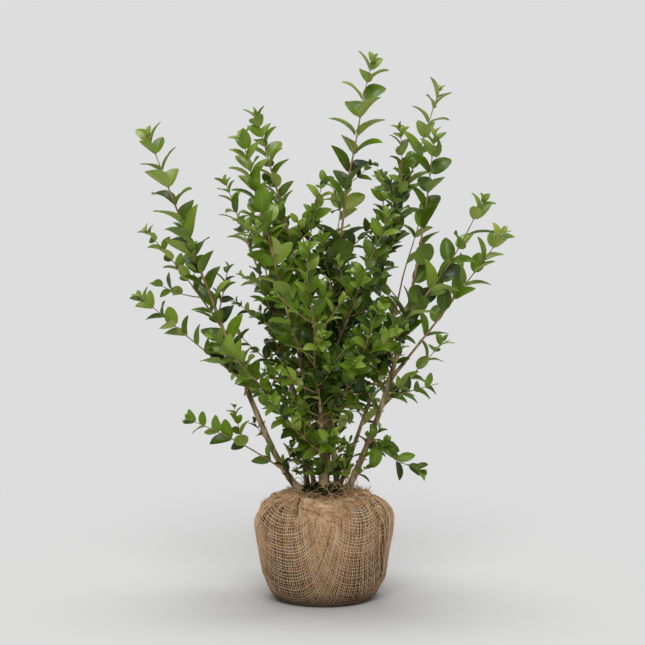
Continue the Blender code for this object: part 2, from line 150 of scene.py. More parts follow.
# Greens: how a leaf's place and its age set which of the tones it has; the place sets painted light and
# shade, lighter further out of the crown's middle
STEM_TONE = -0.3
TWIG_TONE = -0.6
TWIG_TONE_SHARE = 0.6
PAINTED_LIGHT_TONE = 2.50
TIP_TONE = 0.7
TIP_TONE_LOSS = 0.5
LEAF_TONE_SPREAD = 2.6
SPRAY_TONE_SPREAD = 2.2
FRESH_TONE = 1.7
FRESH_SHARE = 0.09
CROWN_MIDDLE = np.array([0.0, 0.0, 0.50])
CROWN_REACH = np.array([0.30, 0.27, 0.42])

# One stem or shoot: the parent is None for a stem that stands on the ball, and place is then its foot
# (x, y); otherwise place is the distance along the parent. Its heading in plan stays, and its lean off
# upright eases from the first value to the second over the turn. The first stretch, bare, is a limb.
Cane = namedtuple("Cane", "name parent place heading leans turn length girths bare", defaults=(0.0,))
CANES = [
    Cane("left_tall", None, (-0.036, -0.006), 180, (48, 21), 0.06, 0.705, (0.0120, 0.0034), 0.215),
    Cane("left_arching", "left_tall", 0.232, 195, (52, 44), 0.50, 0.240, (0.0045, 0.0030)),
    Cane("left_middle", "left_tall", 0.330, 170, (34, 56), 0.50, 0.230, (0.0045, 0.0030)),
    Cane("low_left", "left_tall", 0.052, 192, (53, 105), 0.60, 0.200, (0.0050, 0.0032)),
    Cane("inner_left", None, (-0.029, 0.016), 140, (8, 41), 0.60, 0.610, (0.0100, 0.0034), 0.185),
    Cane("front_left_low", "inner_left", 0.085, 222, (36, 80), 0.60, 0.290, (0.0060, 0.0032), 0.075),
    Cane("middle_left", None, (-0.003, -0.014), 168, (-6, 18), 0.24, 0.695, (0.0160, 0.0034), 0.270),
    Cane("inner_short", "middle_left", 0.372, 300, (2, 36), 0.10, 0.215, (0.0045, 0.0030)),
    Cane("front_left", "middle_left", 0.115, 215, (31, 17.5), 0.03, 0.545, (0.0085, 0.0034), 0.150),
    Cane("front_right", "middle_left", 0.160, 315, (6, 29), 0.05, 0.380, (0.0070, 0.0034), 0.085),
    Cane("front", "middle_left", 0.095, 262, (52, 27), 0.09, 0.415, (0.0070, 0.0034), 0.090),
    Cane("front_low", "middle_left", 0.075, 238, (70, 48), 0.12, 0.205, (0.0050, 0.0032)),
    Cane("tallest", None, (0.026, 0.010), 25, (-9, 22.5), 0.60, 0.770, (0.0105, 0.0034), 0.285),
    Cane("right_tall", "tallest", 0.175, 18, (33, 20), 0.03, 0.585, (0.0080, 0.0034), 0.110),
    Cane("right_side", "right_tall", 0.252, 300, (58, -45), 0.22, 0.265, (0.0045, 0.0030)),
    Cane("right_arching", "right_tall", 0.065, 330, (66, 15), 0.30, 0.385, (0.0055, 0.0034)),
    Cane("front_right_low", "tallest", 0.140, 290, (62, 42), 0.12, 0.310, (0.0060, 0.0034), 0.060),
    Cane("right_upright", None, (0.039, -0.006), 0, (26, -5), 0.60, 0.665, (0.0120, 0.0034), 0.270),
    Cane("far_right", "right_upright", 0.220, 350, (39, 34), 0.50, 0.315, (0.0070, 0.0032), 0.050),
    Cane("low_right", "right_upright", 0.184, 10, (72, 92), 0.30, 0.105, (0.0045, 0.0032)),
    Cane("lowest_right", "right_upright", 0.115, 335, (150, 100), 0.05, 0.115, (0.0045, 0.0032)),
    Cane("back_right", None, (0.024, 0.028), 42, (32, 20), 0.14, 0.560, (0.0080, 0.0034), 0.200),
    Cane("back_right_low", "back_right", 0.130, 40, (60, 46), 0.20, 0.255, (0.0055, 0.0032)),
    Cane("back", None, (0.004, 0.033), 84, (18, 27), 0.20, 0.600, (0.0095, 0.0034), 0.205),
    Cane("back_low", "back", 0.120, 65, (64, 50), 0.20, 0.290, (0.0055, 0.0032)),
    Cane("back_left", None, (-0.016, 0.033), 118, (22, 29), 0.20, 0.580, (0.0085, 0.0034), 0.195),
    Cane("back_left_low", "back_left", 0.125, 138, (62, 50), 0.20, 0.255, (0.0055, 0.0032)),
]

# How a cane is clothed: how much fresher (above 0) or darker its leaves are than the painted light of their
# place makes them, its share of the fine twigs, how close together and how small the pairs on its own stem
# are against the others', how many sprigs stand on its limb, and how far its tip grows on past its solid mass
Clothing = namedtuple("Clothing", "tone bushiness closeness leaf sprigs shoot", defaults=(0, 0.0))
CLOTHING = {
    "left_tall": Clothing(0.0, 0.10, 1.00, 1.06, 3),
    "left_arching": Clothing(0.0, 0.05, 1.00, 1.00),
    "left_middle": Clothing(0.0, 0.60, 0.90, 0.80),
    "low_left": Clothing(-0.3, 0.20, 1.08, 0.90),
    "inner_left": Clothing(0.0, 0.90, 0.66, 0.68, 14),
    "front_left_low": Clothing(1.0, 0.25, 0.85, 0.85),
    "middle_left": Clothing(0.9, 1.00, 0.58, 0.78, 30),
    "inner_short": Clothing(0.8, 0.80, 0.80, 0.80),
    "front_left": Clothing(1.2, 0.90, 0.58, 0.84, 9),
    "front_right": Clothing(0.0, 1.00, 0.70, 0.72, 8),
    "front": Clothing(0.0, 1.00, 0.70, 0.72, 8),
    "front_low": Clothing(0.0, 1.00, 0.80, 0.80),
    "tallest": Clothing(0.2, 0.80, 1.02, 1.12, 32, 0.016),
    "right_tall": Clothing(0.3, 0.20, 0.92, 0.94, 5, 0.010),
    "right_side": Clothing(0.0, 0.50, 0.62, 0.66, 0, 0.010),
    "right_arching": Clothing(-0.2, 0.10, 1.00, 1.00, 0, 0.016),
    "front_right_low": Clothing(0.0, 1.00, 0.80, 0.80),
    "right_upright": Clothing(0.0, 0.10, 1.00, 1.00, 17),
    "far_right": Clothing(0.4, 0.00, 1.00, 1.00, 0, 0.016),
    "low_right": Clothing(-0.2, 0.00, 1.00, 1.00),
    "lowest_right": Clothing(0.0, 0.00, 1.00, 1.00),
    "back_right": Clothing(0.0, 0.15, 0.80, 0.80, 7),
    "back_right_low": Clothing(0.0, 0.10, 1.00, 1.00),
    "back": Clothing(0.0, 0.30, 0.80, 0.80, 6),
    "back_low": Clothing(0.0, 0.40, 1.00, 1.00),
    "back_left": Clothing(0.0, 0.60, 0.80, 0.80, 7),
    "back_left_low": Clothing(0.0, 0.50, 1.00, 1.00),
}

# How far the first pair of a leader is turned off the viewer's line, in radians
LEADER_TURNS = {"left_tall": -0.5, "tallest": 0.5, "right_tall": 0.5, "right_upright": 0.5}

# The twigs of the solid masses and the finer ones between them: their draws, how far apart they are, the
# first one's place, what is added to their turn, their reach, and the spread of place, turn and reach
TwigKind = namedtuple("TwigKind", "draws every first turn reach place_spread turn_spread reach_spread")
MAIN_TWIGS = TwigKind(0, 0.082, 0.55, 0.0, TWIG_REACH, 0.4, 0.5, 0.5)
FINE_TWIGS = TwigKind(200, 0.026, 0.30, 2.4, 0.8 * TWIG_REACH, 0.6, 0.8, 0.7)

# Gaps in the crown that show the sky, as the viewer sees them: place to the side, height and radius
OPENINGS = np.array([
    (-0.047, 0.747, 0.022), (0.011, 0.783, 0.024), (0.011, 0.693, 0.014), (-0.056, 0.702, 0.014),
    (0.056, 0.691, 0.016), (0.128, 0.335, 0.020), (0.216, 0.688, 0.030), (0.232, 0.492, 0.026),
    (0.250, 0.505, 0.030), (0.209, 0.405, 0.018), (0.158, 0.644, 0.018), (0.151, 0.608, 0.020),
    (0.144, 0.567, 0.024), (-0.140, 0.620, 0.024), (-0.250, 0.446, 0.036), (-0.238, 0.547, 0.018),
    (-0.317, 0.598, 0.024), (-0.122, 0.477, 0.022), (-0.200, 0.415, 0.022), (-0.085, 0.302, 0.020),
    (-0.128, 0.275, 0.015), (0.170, 0.410, 0.020), (0.186, 0.480, 0.015), (0.262, 0.618, 0.012),
    (-0.268, 0.628, 0.012),
])


# Vectors and spreads


def unit(vectors):
    return vectors / np.linalg.norm(vectors, axis=-1, keepdims=True)


def square_to(vectors, tangents):
    """The part of each vector that lies square to its tangent, made one long."""
    along = np.sum(vectors * tangents, axis=-1, keepdims=True)
    return unit(vectors - along * tangents)


def ease(value, low, high):
    """0 below low, 1 above high, and a smooth S between."""
    share = np.clip((value - low) / (high - low), 0.0, 1.0)
    return share * share * (3.0 - 2.0 * share)


def ripples(turn, run, *waves):
    """A sum of sines: each wave has a height, how many it makes in a turn and along the run, and a start."""
    return sum(high * np.sin(round_it * turn + along * run + start) for high, round_it, along, start in waves)


def chances(number):
    """A source of chance numbers of its own for each part of the plant, the same ones every time."""
    return np.random.default_rng([SEED, number])


def spread(chance, width, count=None):
    return width * (chance.random(count) - 0.5)


def between_two(chance, low, high, count):
    return low + (high - low) * chance.random(count)


# Axes of the canes, by the part's own rule


def plan_ways(row):
    """The way that a cane heads in plan, and the way to its side."""
    heading = math.radians(row.heading)
    ahead = np.array([math.cos(heading), math.sin(heading), 0.0])
    return ahead, np.cross(UPRIGHT, ahead)


def cane_axis(row, axes):
    """Points along a cane: its lean eases from one value to the other while its heading stays.

    It also sways a little to its sides, and its heading sets where that wave begins.
    """
    count = int(round(row.length / AXIS_STEP)) + 1
    run = np.linspace(0.0, row.length, count)
    first, last = np.radians(row.leans)
    lean = last + (first - last) * np.exp(-run / row.turn)
    outward, sideways = plan_ways(row)
    slopes = np.sin(lean)[:, None] * outward + np.cos(lean)[:, None] * UPRIGHT
    points = np.vstack([np.zeros(3), np.cumsum(slopes[:-1] * run[1], axis=0)])
    sway = SWAY * (np.sin(FULL_TURN * run / SWAY_PITCH + row.heading) - math.sin(row.heading))
    points = points + (sway * np.clip(run / SWAY_PITCH, 0, 1))[:, None] * sideways
    if row.parent is None:
        return points + np.array([*row.place, SEAT_HEIGHT + GAP])
    return points + point_on(axes[row.parent], row.place)


def run_along(axis):
    steps = np.linalg.norm(np.diff(axis, axis=0), axis=1)
    return np.concatenate([[0.0], np.cumsum(steps)])


def point_on(axis, distance):
    """The points at some distances along a line of points."""
    runs = run_along(axis)
    return np.stack([np.interp(distance, runs, axis[:, side]) for side in range(3)], axis=-1)


def tangent_on(axis, distance):
    return unit(point_on(axis, distance + AXIS_STEP) - point_on(axis, distance - AXIS_STEP))


def radius_at(row, distance):
    """Half the cane's width: an even taper, with a flare at the foot of a stem that stands on the ball."""
    thick, thin = row.girths
    share = np.clip(distance / row.length, 0.0, 1.0)
    radius = 0.5 * (thin + (thick - thin) * (1.0 - share) ** TAPER)
    if row.parent is None:
        radius = radius * (1.0 + FLARE * np.exp(-distance / FLARE_HEIGHT))
    return radius


def vigour(row):
    """Short shoots carry smaller leaves, closer together."""
    return SHORT_SHOOT_SHARE + (1.0 - SHORT_SHOOT_SHARE) * min(1.0, row.length / FULL_SHOOT)


def all_axes():
    """Every cane's axis; some tips grow on, straight, past their solid masses."""
    axes = {}
    for row in CANES:
        axis = cane_axis(row, axes)
        shoot = CLOTHING[row.name].shoot
        if shoot > 0.0:
            axis = np.vstack([axis, axis[-1] + shoot * unit(axis[-1] - axis[-2])])
        axes[row.name] = axis
    return axes


# Meshes


def new_mesh(name, points, faces, finishes, slots=None, uv=None, sharp=None):
    """An object whose mesh is worked out: points (n, 3) and arrays of faces with 3 or 4 corners each.

    slots gives each face its finish, uv each point its place in a pattern, and sharp marks the points
    whose joining edges stay crisp.
    """
    mesh = bpy.data.meshes.new(name)
    corners = np.concatenate([part.ravel() for part in faces]).astype(np.int32)
    sizes = np.concatenate([np.full(len(part), part.shape[1]) for part in faces])
    mesh.vertices.add(len(points))
    mesh.vertices.foreach_set("co", points.astype(np.float32).ravel())
    mesh.loops.add(len(corners))
    mesh.loops.foreach_set("vertex_index", corners)
    mesh.polygons.add(len(sizes))
    mesh.polygons.foreach_set("loop_start", (np.cumsum(sizes) - sizes).astype(np.int32))
    mesh.polygons.foreach_set("use_smooth", np.ones(len(sizes), dtype=bool))
    for finish in finishes:
        mesh.materials.append(finish)
    if slots is not None:
        mesh.polygons.foreach_set("material_index", slots.astype(np.int32))
    if uv is not None:
        layer = mesh.uv_layers.new(name="UVMap")
        layer.uv.foreach_set("vector", uv[corners].astype(np.float32).ravel())
    mesh.update(calc_edges=True)
    if sharp is not None:
        ends = np.empty(2 * len(mesh.edges), dtype=np.int32)
        mesh.edges.foreach_get("vertices", ends)
        crisp = mesh.attributes.new("sharp_edge", "BOOLEAN", "EDGE")
        crisp.data.foreach_set("value", sharp[ends].reshape(-1, 2).all(axis=1))
    return placed(name, mesh)


def placed(name, data, place=(0.0, 0.0, 0.0), tipped=0.0):
    """Stands a mesh, a lamp or a camera in the scene, tipped about the X axis."""
    made = bpy.data.objects.new(name, data)
    made.location = place
    made.rotation_euler = (tipped, 0.0, 0.0)
    bpy.context.scene.collection.objects.link(made)
    return made


def own_piece(made, nodes):
    """Makes a mesh a piece of the plant: it rides on the one body and takes the place of its nodes."""
    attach(made, "root")
    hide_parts(*nodes)


def repeated(faces, count, step):
    """The same faces for each of several shapes with so many points each."""
    return (faces + step * np.arange(count)[:, None, None]).reshape(-1, faces.shape[1])


def ring_faces(rings, sides):
    """Quads between rings of points, and fans that close both ends on two further points."""
    rim = np.arange(sides)
    after = (rim + 1) % sides
    start = sides * np.arange(rings - 1)[:, None]
    quads = np.stack([start + rim, start + after, start + after + sides, start + rim + sides], axis=-1)
    foot = np.stack([np.full(sides, rings * sides), after, rim], axis=-1)
    last = (rings - 1) * sides
    tip = np.stack([np.full(sides, rings * sides + 1), last + rim, last + after], axis=-1)
    return quads.reshape(-1, 4), np.concatenate([foot, tip])


def tubes(paths, radii, sides, reference, relief=0.0, flat=1.0):
    """Closed tubes round several paths with as many points each.

    A ring stands square to each path: its point at an angle is the path's point, plus the radius times
    the cosine along one side vector and the sine along the other. The first side is the reference made
    square to the path, and flat squeezes the ring along it. Relief adds a share of the radius. Each end
    closes on a point half a radius further on.
    """
    count, rings = paths.shape[:2]
    tangents = unit(np.gradient(paths, axis=1))
    first = square_to(np.broadcast_to(reference, paths.shape), tangents)
    second = np.cross(tangents, first)
    turns = FULL_TURN * np.arange(sides) / sides
    radii = np.broadcast_to(radii, (count, rings))[..., None]
    reach = radii * np.ones(sides) * (1.0 + relief)
    ring = (reach * np.cos(turns) * flat)[..., None] * first[:, :, None]
    ring = ring + (reach * np.sin(turns))[..., None] * second[:, :, None]
    body = (paths[:, :, None] + ring).reshape(count, -1, 3)
    ends = [0, -1]
    caps = paths[:, ends] + 0.5 * radii[:, ends] * tangents[:, ends] * np.array([-1.0, 1.0])[:, None]
    return np.concatenate([body, caps], axis=1), sides


def ringed_mesh(name, bodies, finishes, slots=None, picks=None):
    """A mesh of closed bodies, given in sets: points (bodies, points, 3), and how many points a ring has.

    A body's rings come first, then its two end points. slots gives each face its finish, or picks gives
    each set its own.
    """
    made, start = ([], []), 0
    for points, sides in bodies:
        count, many = points.shape[:2]
        for found, faces in zip(made, ring_faces((many - 2) // sides, sides)):
            found.append(start + repeated(faces, count, many))
        start += count * many
    if picks is not None:
        slots = np.repeat(np.tile(picks, 2), [len(faces) for found in made for faces in found])
    points = np.concatenate([points.reshape(-1, 3) for points, sides in bodies])
    return new_mesh(name, points, [np.concatenate(found) for found in made], finishes, slots)


# Finishes

# Sizes of the patterns' lumps, in metres: 29 mm, 2.4 mm, 1.1 mm, 17 mm, 3 mm, 1.4 mm and 3.3 mm
GREEN_DRIFT = 1 / 34
PORE = 1 / 420
BARK_GRAIN = 1 / 900
RUBBED_PATCH = 1 / 60
SLUB = 1 / 330
JUTE_HAIR = 1 / 700
SOIL_CLOD = 1 / 300
STREAK_STRETCH = (1.0, 1.0, 0.18)
GRAIN_STRETCH = (1.0, 1.0, 0.3)
RIB_SHARE = 0.4


def linear(code):
    """A hex sRGB colour as linear light, by the standard's curve."""
    values = np.array([int(code[place:place + 2], 16) for place in (1, 3, 5)]) / 255.0
    light = np.where(values <= 0.04045, values / 12.92, ((values + 0.055) / 1.055) ** 2.4)
    return (*[float(value) for value in light], 1.0)


def fill(tree, node, inputs):
    """Gives each input of a node its value, or links it where the value is another node's socket."""
    for key, value in inputs.items():
        if isinstance(value, bpy.types.NodeSocket):
            tree.links.new(value, node.inputs[key])
        else:
            node.inputs[key].default_value = value


def add_node(tree, kind, output, inputs=None, **settings):
    """Adds a node with its settings, values and links, and returns one of its outputs."""
    made = tree.nodes.new("ShaderNode" + kind)
    for key, value in settings.items():
        setattr(made, key, value)
    fill(tree, made, inputs or {})
    return made.outputs[output]


def new_finish(name, inputs):
    """A material with its even values on the shader's own sockets; nothing on the plant is metal."""
    made = bpy.data.materials.new(name)
    made.use_nodes = True
    shader = made.node_tree.nodes["Principled BSDF"]
    fill(made.node_tree, shader, {"Metallic": 0.0, **inputs})
    return made, made.node_tree, shader


def clouds(tree, size, detail=2.0, stretch=(1.0, 1.0, 1.0)):
    """Soft lumps of a size in metres, drawn out along each axis whose stretch is below 1."""
    place = add_node(tree, "TexCoord", "Object")
    place = add_node(tree, "Mapping", "Vector", {"Vector": place, "Scale": stretch})
    return add_node(tree, "TexNoise", "Fac", {"Vector": place, "Scale": 1.0 / size, "Detail": detail})


def layered(tree, colour, layers):
    """Colours laid over one another: each covers a share of the last as its pattern goes from low to high."""
    for pattern, low, high, share, code in layers:
        limits = {"From Min": low, "From Max": high, "To Max": share}
        cover = add_node(tree, "MapRange", "Result", {"Value": pattern, **limits})
        colour = add_node(tree, "Mix", 2, {0: cover, 6: colour, 7: linear(code)}, data_type="RGBA")
    return colour


def coated(tree, shader, colour, relief, depth, strength=1.0):
    """Gives a finish its colour, and its relief as a bump of so many metres."""
    normal = add_node(tree, "Bump", "Normal", {"Height": relief, "Distance": depth, "Strength": strength})
    fill(tree, shader, {"Base Color": colour, "Normal": normal})


def leaf_finish(name, dark, light, rib, roughness, wax):
    """A leathery leaf's face: smooth, with the soft gloss of a thin wax, and a pale, sunken midrib.

    The midrib follows the leaf's own pattern, length along, and across with the midrib at a half. The
    green drifts between two shades over a few centimetres.
    """
    gloss = {"Roughness": roughness, "IOR": 1.3, "Coat Weight": wax, "Coat Roughness": 0.24}
    made, tree, shader = new_finish(name, gloss)
    across = add_node(tree, "SeparateXYZ", "Y", {"Vector": add_node(tree, "UVMap", "UV", uv_map="UVMap")})
    across = add_node(tree, "Math", 0, {0: across, 1: 0.5}, operation="SUBTRACT")
    across = add_node(tree, "Math", 0, {0: across}, operation="ABSOLUTE")
    layers = [(clouds(tree, GREEN_DRIFT), 0.35, 0.65, 1.0, light), (across, 0.06, 0.015, RIB_SHARE, rib)]
    furrow = add_node(tree, "MapRange", "Result", {"Value": across, "From Max": 0.08})
    coated(tree, shader, layered(tree, linear(dark), layers), furrow, 0.0004, 0.3)
    return made


def bark_finish(name, dark, light, streak):
    """Smooth, matt bark: long faint streaks, fine grain, and small pale pores that stand out.

    Pores and grain are drawn about twice their real size, so that they show.
    """
    made, tree, shader = new_finish(name, {"Roughness": 0.72, "IOR": 1.33})
    streaks = clouds(tree, streak, 4.0, STREAK_STRETCH)
    pores = clouds(tree, PORE, 1.0)
    grain = clouds(tree, BARK_GRAIN, 3.0, GRAIN_STRETCH)
    raised = add_node(tree, "MapRange", "Result", {"Value": pores, "From Min": 0.66, "From Max": 0.72})
    relief = add_node(tree, "Math", 0, {0: grain, 1: raised}, operation="ADD")
    layers = [(streaks, 0.35, 0.68, 1.0, light), (pores, 0.66, 0.72, 0.5, "#CDB793")]
    coated(tree, shader, layered(tree, linear(dark), layers), relief, 0.0006, 0.7)
    return made


def jute_finish(name, dark, light):
    """Undyed spun jute: matt, straw to tan, with paler and darker slubs and a fine hairy grain.

    It is darker where soil has rubbed in, and it carries painted shade that darkens it towards the ground,
    most of all at the foot.
    The hair is drawn coarser than it is, so that it shows.
    """
    matt = {"Roughness": 0.9, "IOR": 1.4, "Sheen Weight": 0.05, "Sheen Roughness": 0.5}
    made, tree, shader = new_finish(name, matt)
    height = add_node(tree, "SeparateXYZ", "Z", {"Vector": add_node(tree, "TexCoord", "Object")})
    slubs = clouds(tree, SLUB, 3.0)
    layers = [
        (clouds(tree, RUBBED_PATCH, 4.0), 0.38, 0.60, 1.0, light),
        (slubs, 0.50, 0.72, 0.5, "#F4D0A4"),
        (slubs, 0.46, 0.30, 0.5, "#74492A"),
        # Painted shade: darker over the lower ball, and darkest near the ground
        (height, 0.110, 0.020, 0.24, "#5A3C22"),
        (height, 0.028, 0.002, 0.75, "#3A2818"),
    ]
    coated(tree, shader, layered(tree, linear(dark), layers), clouds(tree, JUTE_HAIR, 3.0), 0.0016)
    return made


def soil_finish():
    """Moist loam behind the weave: near black-brown crumbs, with the odd paler grain."""
    made, tree, shader = new_finish("soil_moist_loam", {"Roughness": 0.95, "IOR": 1.4})
    clods = clouds(tree, SOIL_CLOD, 5.0)
    coated(tree, shader, layered(tree, linear("#060200"), [(clods, 0.4, 0.7, 1.0, "#160C04")]), clods, 0.003)
    return made


# Bark

LIMB_SIDES = 22
LIMB_STEP = 0.0022
LIMB_OVERLAP = 0.004
COLLAR = 0.55
COLLAR_LENGTH = 0.012
JOINT_RING = 0.13
JOINT_WIDTH = 0.0022
LEAFY_SIDES = 10
LEAFY_OVERLAP = 0.002
LEAFY_GIRTH = 0.76
TIP_THINNING = 0.40
TIP_THINNING_FROM = 0.22
PAIR_SWELLING = 0.3
PAIR_SWELLING_WIDTH = 0.003


def limb_tube(row, axis):
    """A bare limb: the rule's taper, with bark relief.

    The relief is three waves that wander round the limb as they run up it, and a ring at every joint
    where leaves once stood, raised as a narrow bell curve. A bough starts inside the limb that carries
    it, and widens there into a collar.
    """
    stop = row.bare + LIMB_OVERLAP
    runs = np.linspace(0.0, stop, int(round(stop / LIMB_STEP)) + 1)
    radii = radius_at(row, runs)
    if row.parent is not None:
        radii = radii * (1.0 + COLLAR * np.exp(-runs / COLLAR_LENGTH))
    run = runs[:, None]
    turn = FULL_TURN * np.arange(LIMB_SIDES) / LIMB_SIDES
    relief = ripples(turn, run, (0.035, 3, 30, row.heading), (0.025, 5, -62, 1.7))
    relief = relief + 0.02 * np.sin(8 * turn + 140 * run) * np.sin(70 * run + row.heading)
    offset = (run + 0.01) % STEM_PAIRS_EVERY - 0.5 * STEM_PAIRS_EVERY
    relief = relief + JOINT_RING * np.exp(-(offset / JOINT_WIDTH) ** 2)
    return tubes(point_on(axis, runs)[None], radii[None], LIMB_SIDES, plan_ways(row)[1], relief[None])


def leafy_tube(row, axis):
    """The leafy stretch of a cane: thinner, thinner still to its tip, and thicker at each pair of leaves."""
    start = max(0.0, row.bare - LEAFY_OVERLAP)
    stop = row.length + CLOTHING[row.name].shoot
    runs = np.linspace(start, stop, int(round((stop - start) / AXIS_STEP)) + 1)
    radii = LEAFY_GIRTH * radius_at(row, runs)
    radii = radii * (1.0 - TIP_THINNING * ease(runs, row.length - TIP_THINNING_FROM, row.length))
    offset = (row.length - runs) % (STEM_PAIRS_EVERY * vigour(row))
    radii = radii * (1.0 + PAIR_SWELLING * np.exp(-(offset / PAIR_SWELLING_WIDTH) ** 2))
    return tubes(point_on(axis, runs)[None], radii[None], LEAFY_SIDES, plan_ways(row)[1])


# Twigs and leaves


def around(tangent, turn):
    """Directions square to a stem; at no turn they keep as near to the X axis as they can."""
    first = square_to(np.broadcast_to(np.array([1.0, 0.0, 0.0]), tangent.shape), tangent)
    turn = np.asarray(turn)[..., None]
    return np.cos(turn) * first + np.sin(turn) * np.cross(tangent, first)


def twig_axis(start, tangent, turn, reach):
    """A twig leaves its stem at a wide angle and rises along its length, as a share squared."""
    angle = math.radians(TWIG_LEAVING)
    direction = math.cos(angle) * tangent + math.sin(angle) * around(tangent, turn)
    share = np.linspace(0.0, 1.0, TWIG_POINTS)[:, None]
    return start + share * reach * direction + TWIG_RISE * reach * share ** 2 * UPRIGHT


def twigs_of(row, number, kind, bushiness=1.0):
    """Starting place, turn and reach of each twig on a cane, by a golden angle and a seeded spread."""
    chance = chances(kind.draws + number)
    leafy = row.length - row.bare
    count = int(bushiness * TWIG_ZONE * leafy / kind.every)
    found = []
    for index in range(count):
        share = TWIG_ZONE * (index + kind.first + spread(chance, kind.place_spread)) / count
        turn = GOLDEN_ANGLE * (index + number) + kind.turn + spread(chance, kind.turn_spread)
        reach = kind.reach * (1.0 - TWIG_SHORTENING * share) * (1.0 + spread(chance, kind.reach_spread))
        found.append((row.bare + share * leafy, turn, reach))
    return found


def sprigs_of(row, number):
    """Leafy sprigs on a bare limb, thicker and longer towards the foliage above it."""
    chance = chances(SPRIG_DRAWS + number)
    found = []
    for index in range(CLOTHING[row.name].sprigs):
        share = chance.random() ** SPRIG_CROWDING
        turn = GOLDEN_ANGLE * (index + number) + spread(chance, SPRIG_TURN_SPREAD)
        reach = SPRIG_REACH * (SHORTEST_SPRIG + (1.0 - SHORTEST_SPRIG) * share)
        reach = reach * (1.0 + spread(chance, SPRIG_REACH_SPREAD))
        found.append((row.bare * (LOWEST_SPRIG + (1.0 - LOWEST_SPRIG) * share), turn, reach))
    return found


def in_opening(points):
    """Which of some points lie in one of the gaps that the viewer sees through the crown."""
    aside, height, radius = OPENINGS.T
    return (np.hypot(points[:, :1] - aside, points[:, 2:] - height) < radius).any(axis=1)


Leaves = namedtuple("Leaves", "root along upper length tone")


def leaf_pairs(axis, start, spacing, tip_gap, size, chance, first_turn, tone):
    """The pairs of leaves along a stem, from its tip down, each a quarter turn from the last.

    The gaps between the youngest pairs are shorter. A blade leaves the stem at an angle, and its upper
    face looks back at the stem; it is then rolled a little, and turned part of the way to the light.
    """
    stop = run_along(axis)[-1]
    most = int(4 + (stop - start) / spacing)
    gaps = spacing * np.minimum(1.0, tip_gap + TIP_GAP_GROWTH * np.arange(most))
    down = np.concatenate([[0.0], np.cumsum(gaps)])
    pairs = np.count_nonzero(down <= stop - start)
    index = np.repeat(np.arange(pairs), 2)
    half = np.tile([0, 1], pairs)
    count = 2 * pairs
    place = stop - down[index]
    tangent = tangent_on(axis, np.minimum(place, stop - AXIS_STEP))
    turn = first_turn + math.pi * (half + 0.5 * index) + spread(chance, LEAF_TURN_SPREAD, count)
    closing = np.maximum(0.0, TIP_CLOSING - TIP_CLOSING_LOSS * index)
    angle = np.radians(LEAF_ANGLE - closing + spread(chance, LEAF_ANGLE_SPREAD, count))[:, None]
    outward = around(tangent, turn)
    along = unit(np.cos(angle) * tangent + np.sin(angle) * outward + LEAF_UPTURN * UPRIGHT)
    upper = square_to(np.sin(angle) * tangent - np.cos(angle) * outward, along)
    root = point_on(axis, place)
    light = root * LIGHT_OUTWARD + LIGHT_FROM + spread(chance, LIGHT_SPREAD, (count, 3))
    upper = unit((1.0 - LIGHT_TURNING) * upper + LIGHT_TURNING * square_to(light, along))
    roll = spread(chance, LEAF_ROLL_SPREAD, count)[:, None]
    upper = np.cos(roll) * upper + np.sin(roll) * np.cross(along, upper)
    grown = 1.0 - TIP_LEAF_LOSS * np.exp(-index / TIP_LEAF_PAIRS)
    length = size * grown * (1.0 + spread(chance, LEAF_SIZE_SPREAD, count))
    # Painted light: leaves lighter further out of the crown's middle and darker inside it
    tones = tone + PAINTED_LIGHT_TONE * light_at(root) + np.maximum(0.0, TIP_TONE - TIP_TONE_LOSS * index)
    tones = tones + spread(chance, LEAF_TONE_SPREAD, count) + new_growth(chance, count)
    return Leaves(root, along, upper, length, tones)


def new_growth(chance, count=None):
    """Here and there a leaf or a spray is this season's, and fresher than the rest."""
    return FRESH_TONE * (chance.random(count) < FRESH_SHARE)


def light_at(points):
    """How far out of the crown's dark middle a place is, 0 to about 1, by an upright ellipsoid; it sets the
    leaves' painted light.
    """
    return np.linalg.norm((points - CROWN_MIDDLE) / CROWN_REACH, axis=-1)


def grow(axes):
    """Every leaf and every twig of the plant."""
    leaves, lines = [], []
    for number, row in enumerate(CANES):
        axis, clothing = axes[row.name], CLOTHING[row.name]
        chance = chances(LEAF_DRAWS + number)
        stem = point_on(axis, np.linspace(row.bare, row.length + clothing.shoot, STEM_POINTS))
        facing = FIRST_TURN + LEADER_TURNS.get(row.name, FIRST_TURN_ASIDE * (-1) ** number)
        facing = facing + spread(chance, FIRST_TURN_SPREAD)
        every = STEM_PAIRS_EVERY * vigour(row) * clothing.closeness
        leaf = STEM_LEAF * vigour(row) * clothing.leaf
        tone = STEM_TONE + clothing.tone
        leaves.append(leaf_pairs(stem, STEM_PAIRS_FROM, every, STEM_TIP_GAP, leaf, chance, facing, tone))
        twigs = twigs_of(row, number, MAIN_TWIGS) + twigs_of(row, number, FINE_TWIGS, clothing.bushiness)
        shoots = [(TWIG_LEAF, *twig) for twig in twigs]
        shoots += [(SPRIG_LEAF, *sprig) for sprig in sprigs_of(row, number)]
        for size, place, turn, reach in shoots:
            line = twig_axis(point_on(axis, place), tangent_on(axis, place), turn, reach)
            if in_opening(line[TWIG_POINTS // 2:]).any():
                continue
            lines.append(line)
            tone = TWIG_TONE + TWIG_TONE_SHARE * clothing.tone + spread(chance, SPRAY_TONE_SPREAD)
            tone = tone + new_growth(chance)
            leaf = size * (SMALLEST_SPRAY + SPRAY_SIZE_SPREAD * chance.random())
            spray = (line, TWIG_PAIRS_FROM * reach, TWIG_PAIRS_EVERY, TWIG_TIP_GAP, leaf, chance, turn, tone)
            leaves.append(leaf_pairs(*spray))
    whole = Leaves(*[np.concatenate(values) for values in zip(*leaves)])
    kept = ~in_opening(whole.root + LEAF_MIDDLE * whole.length[:, None] * whole.along)
    return Leaves(*[values[kept] for values in whole]), np.array(lines)


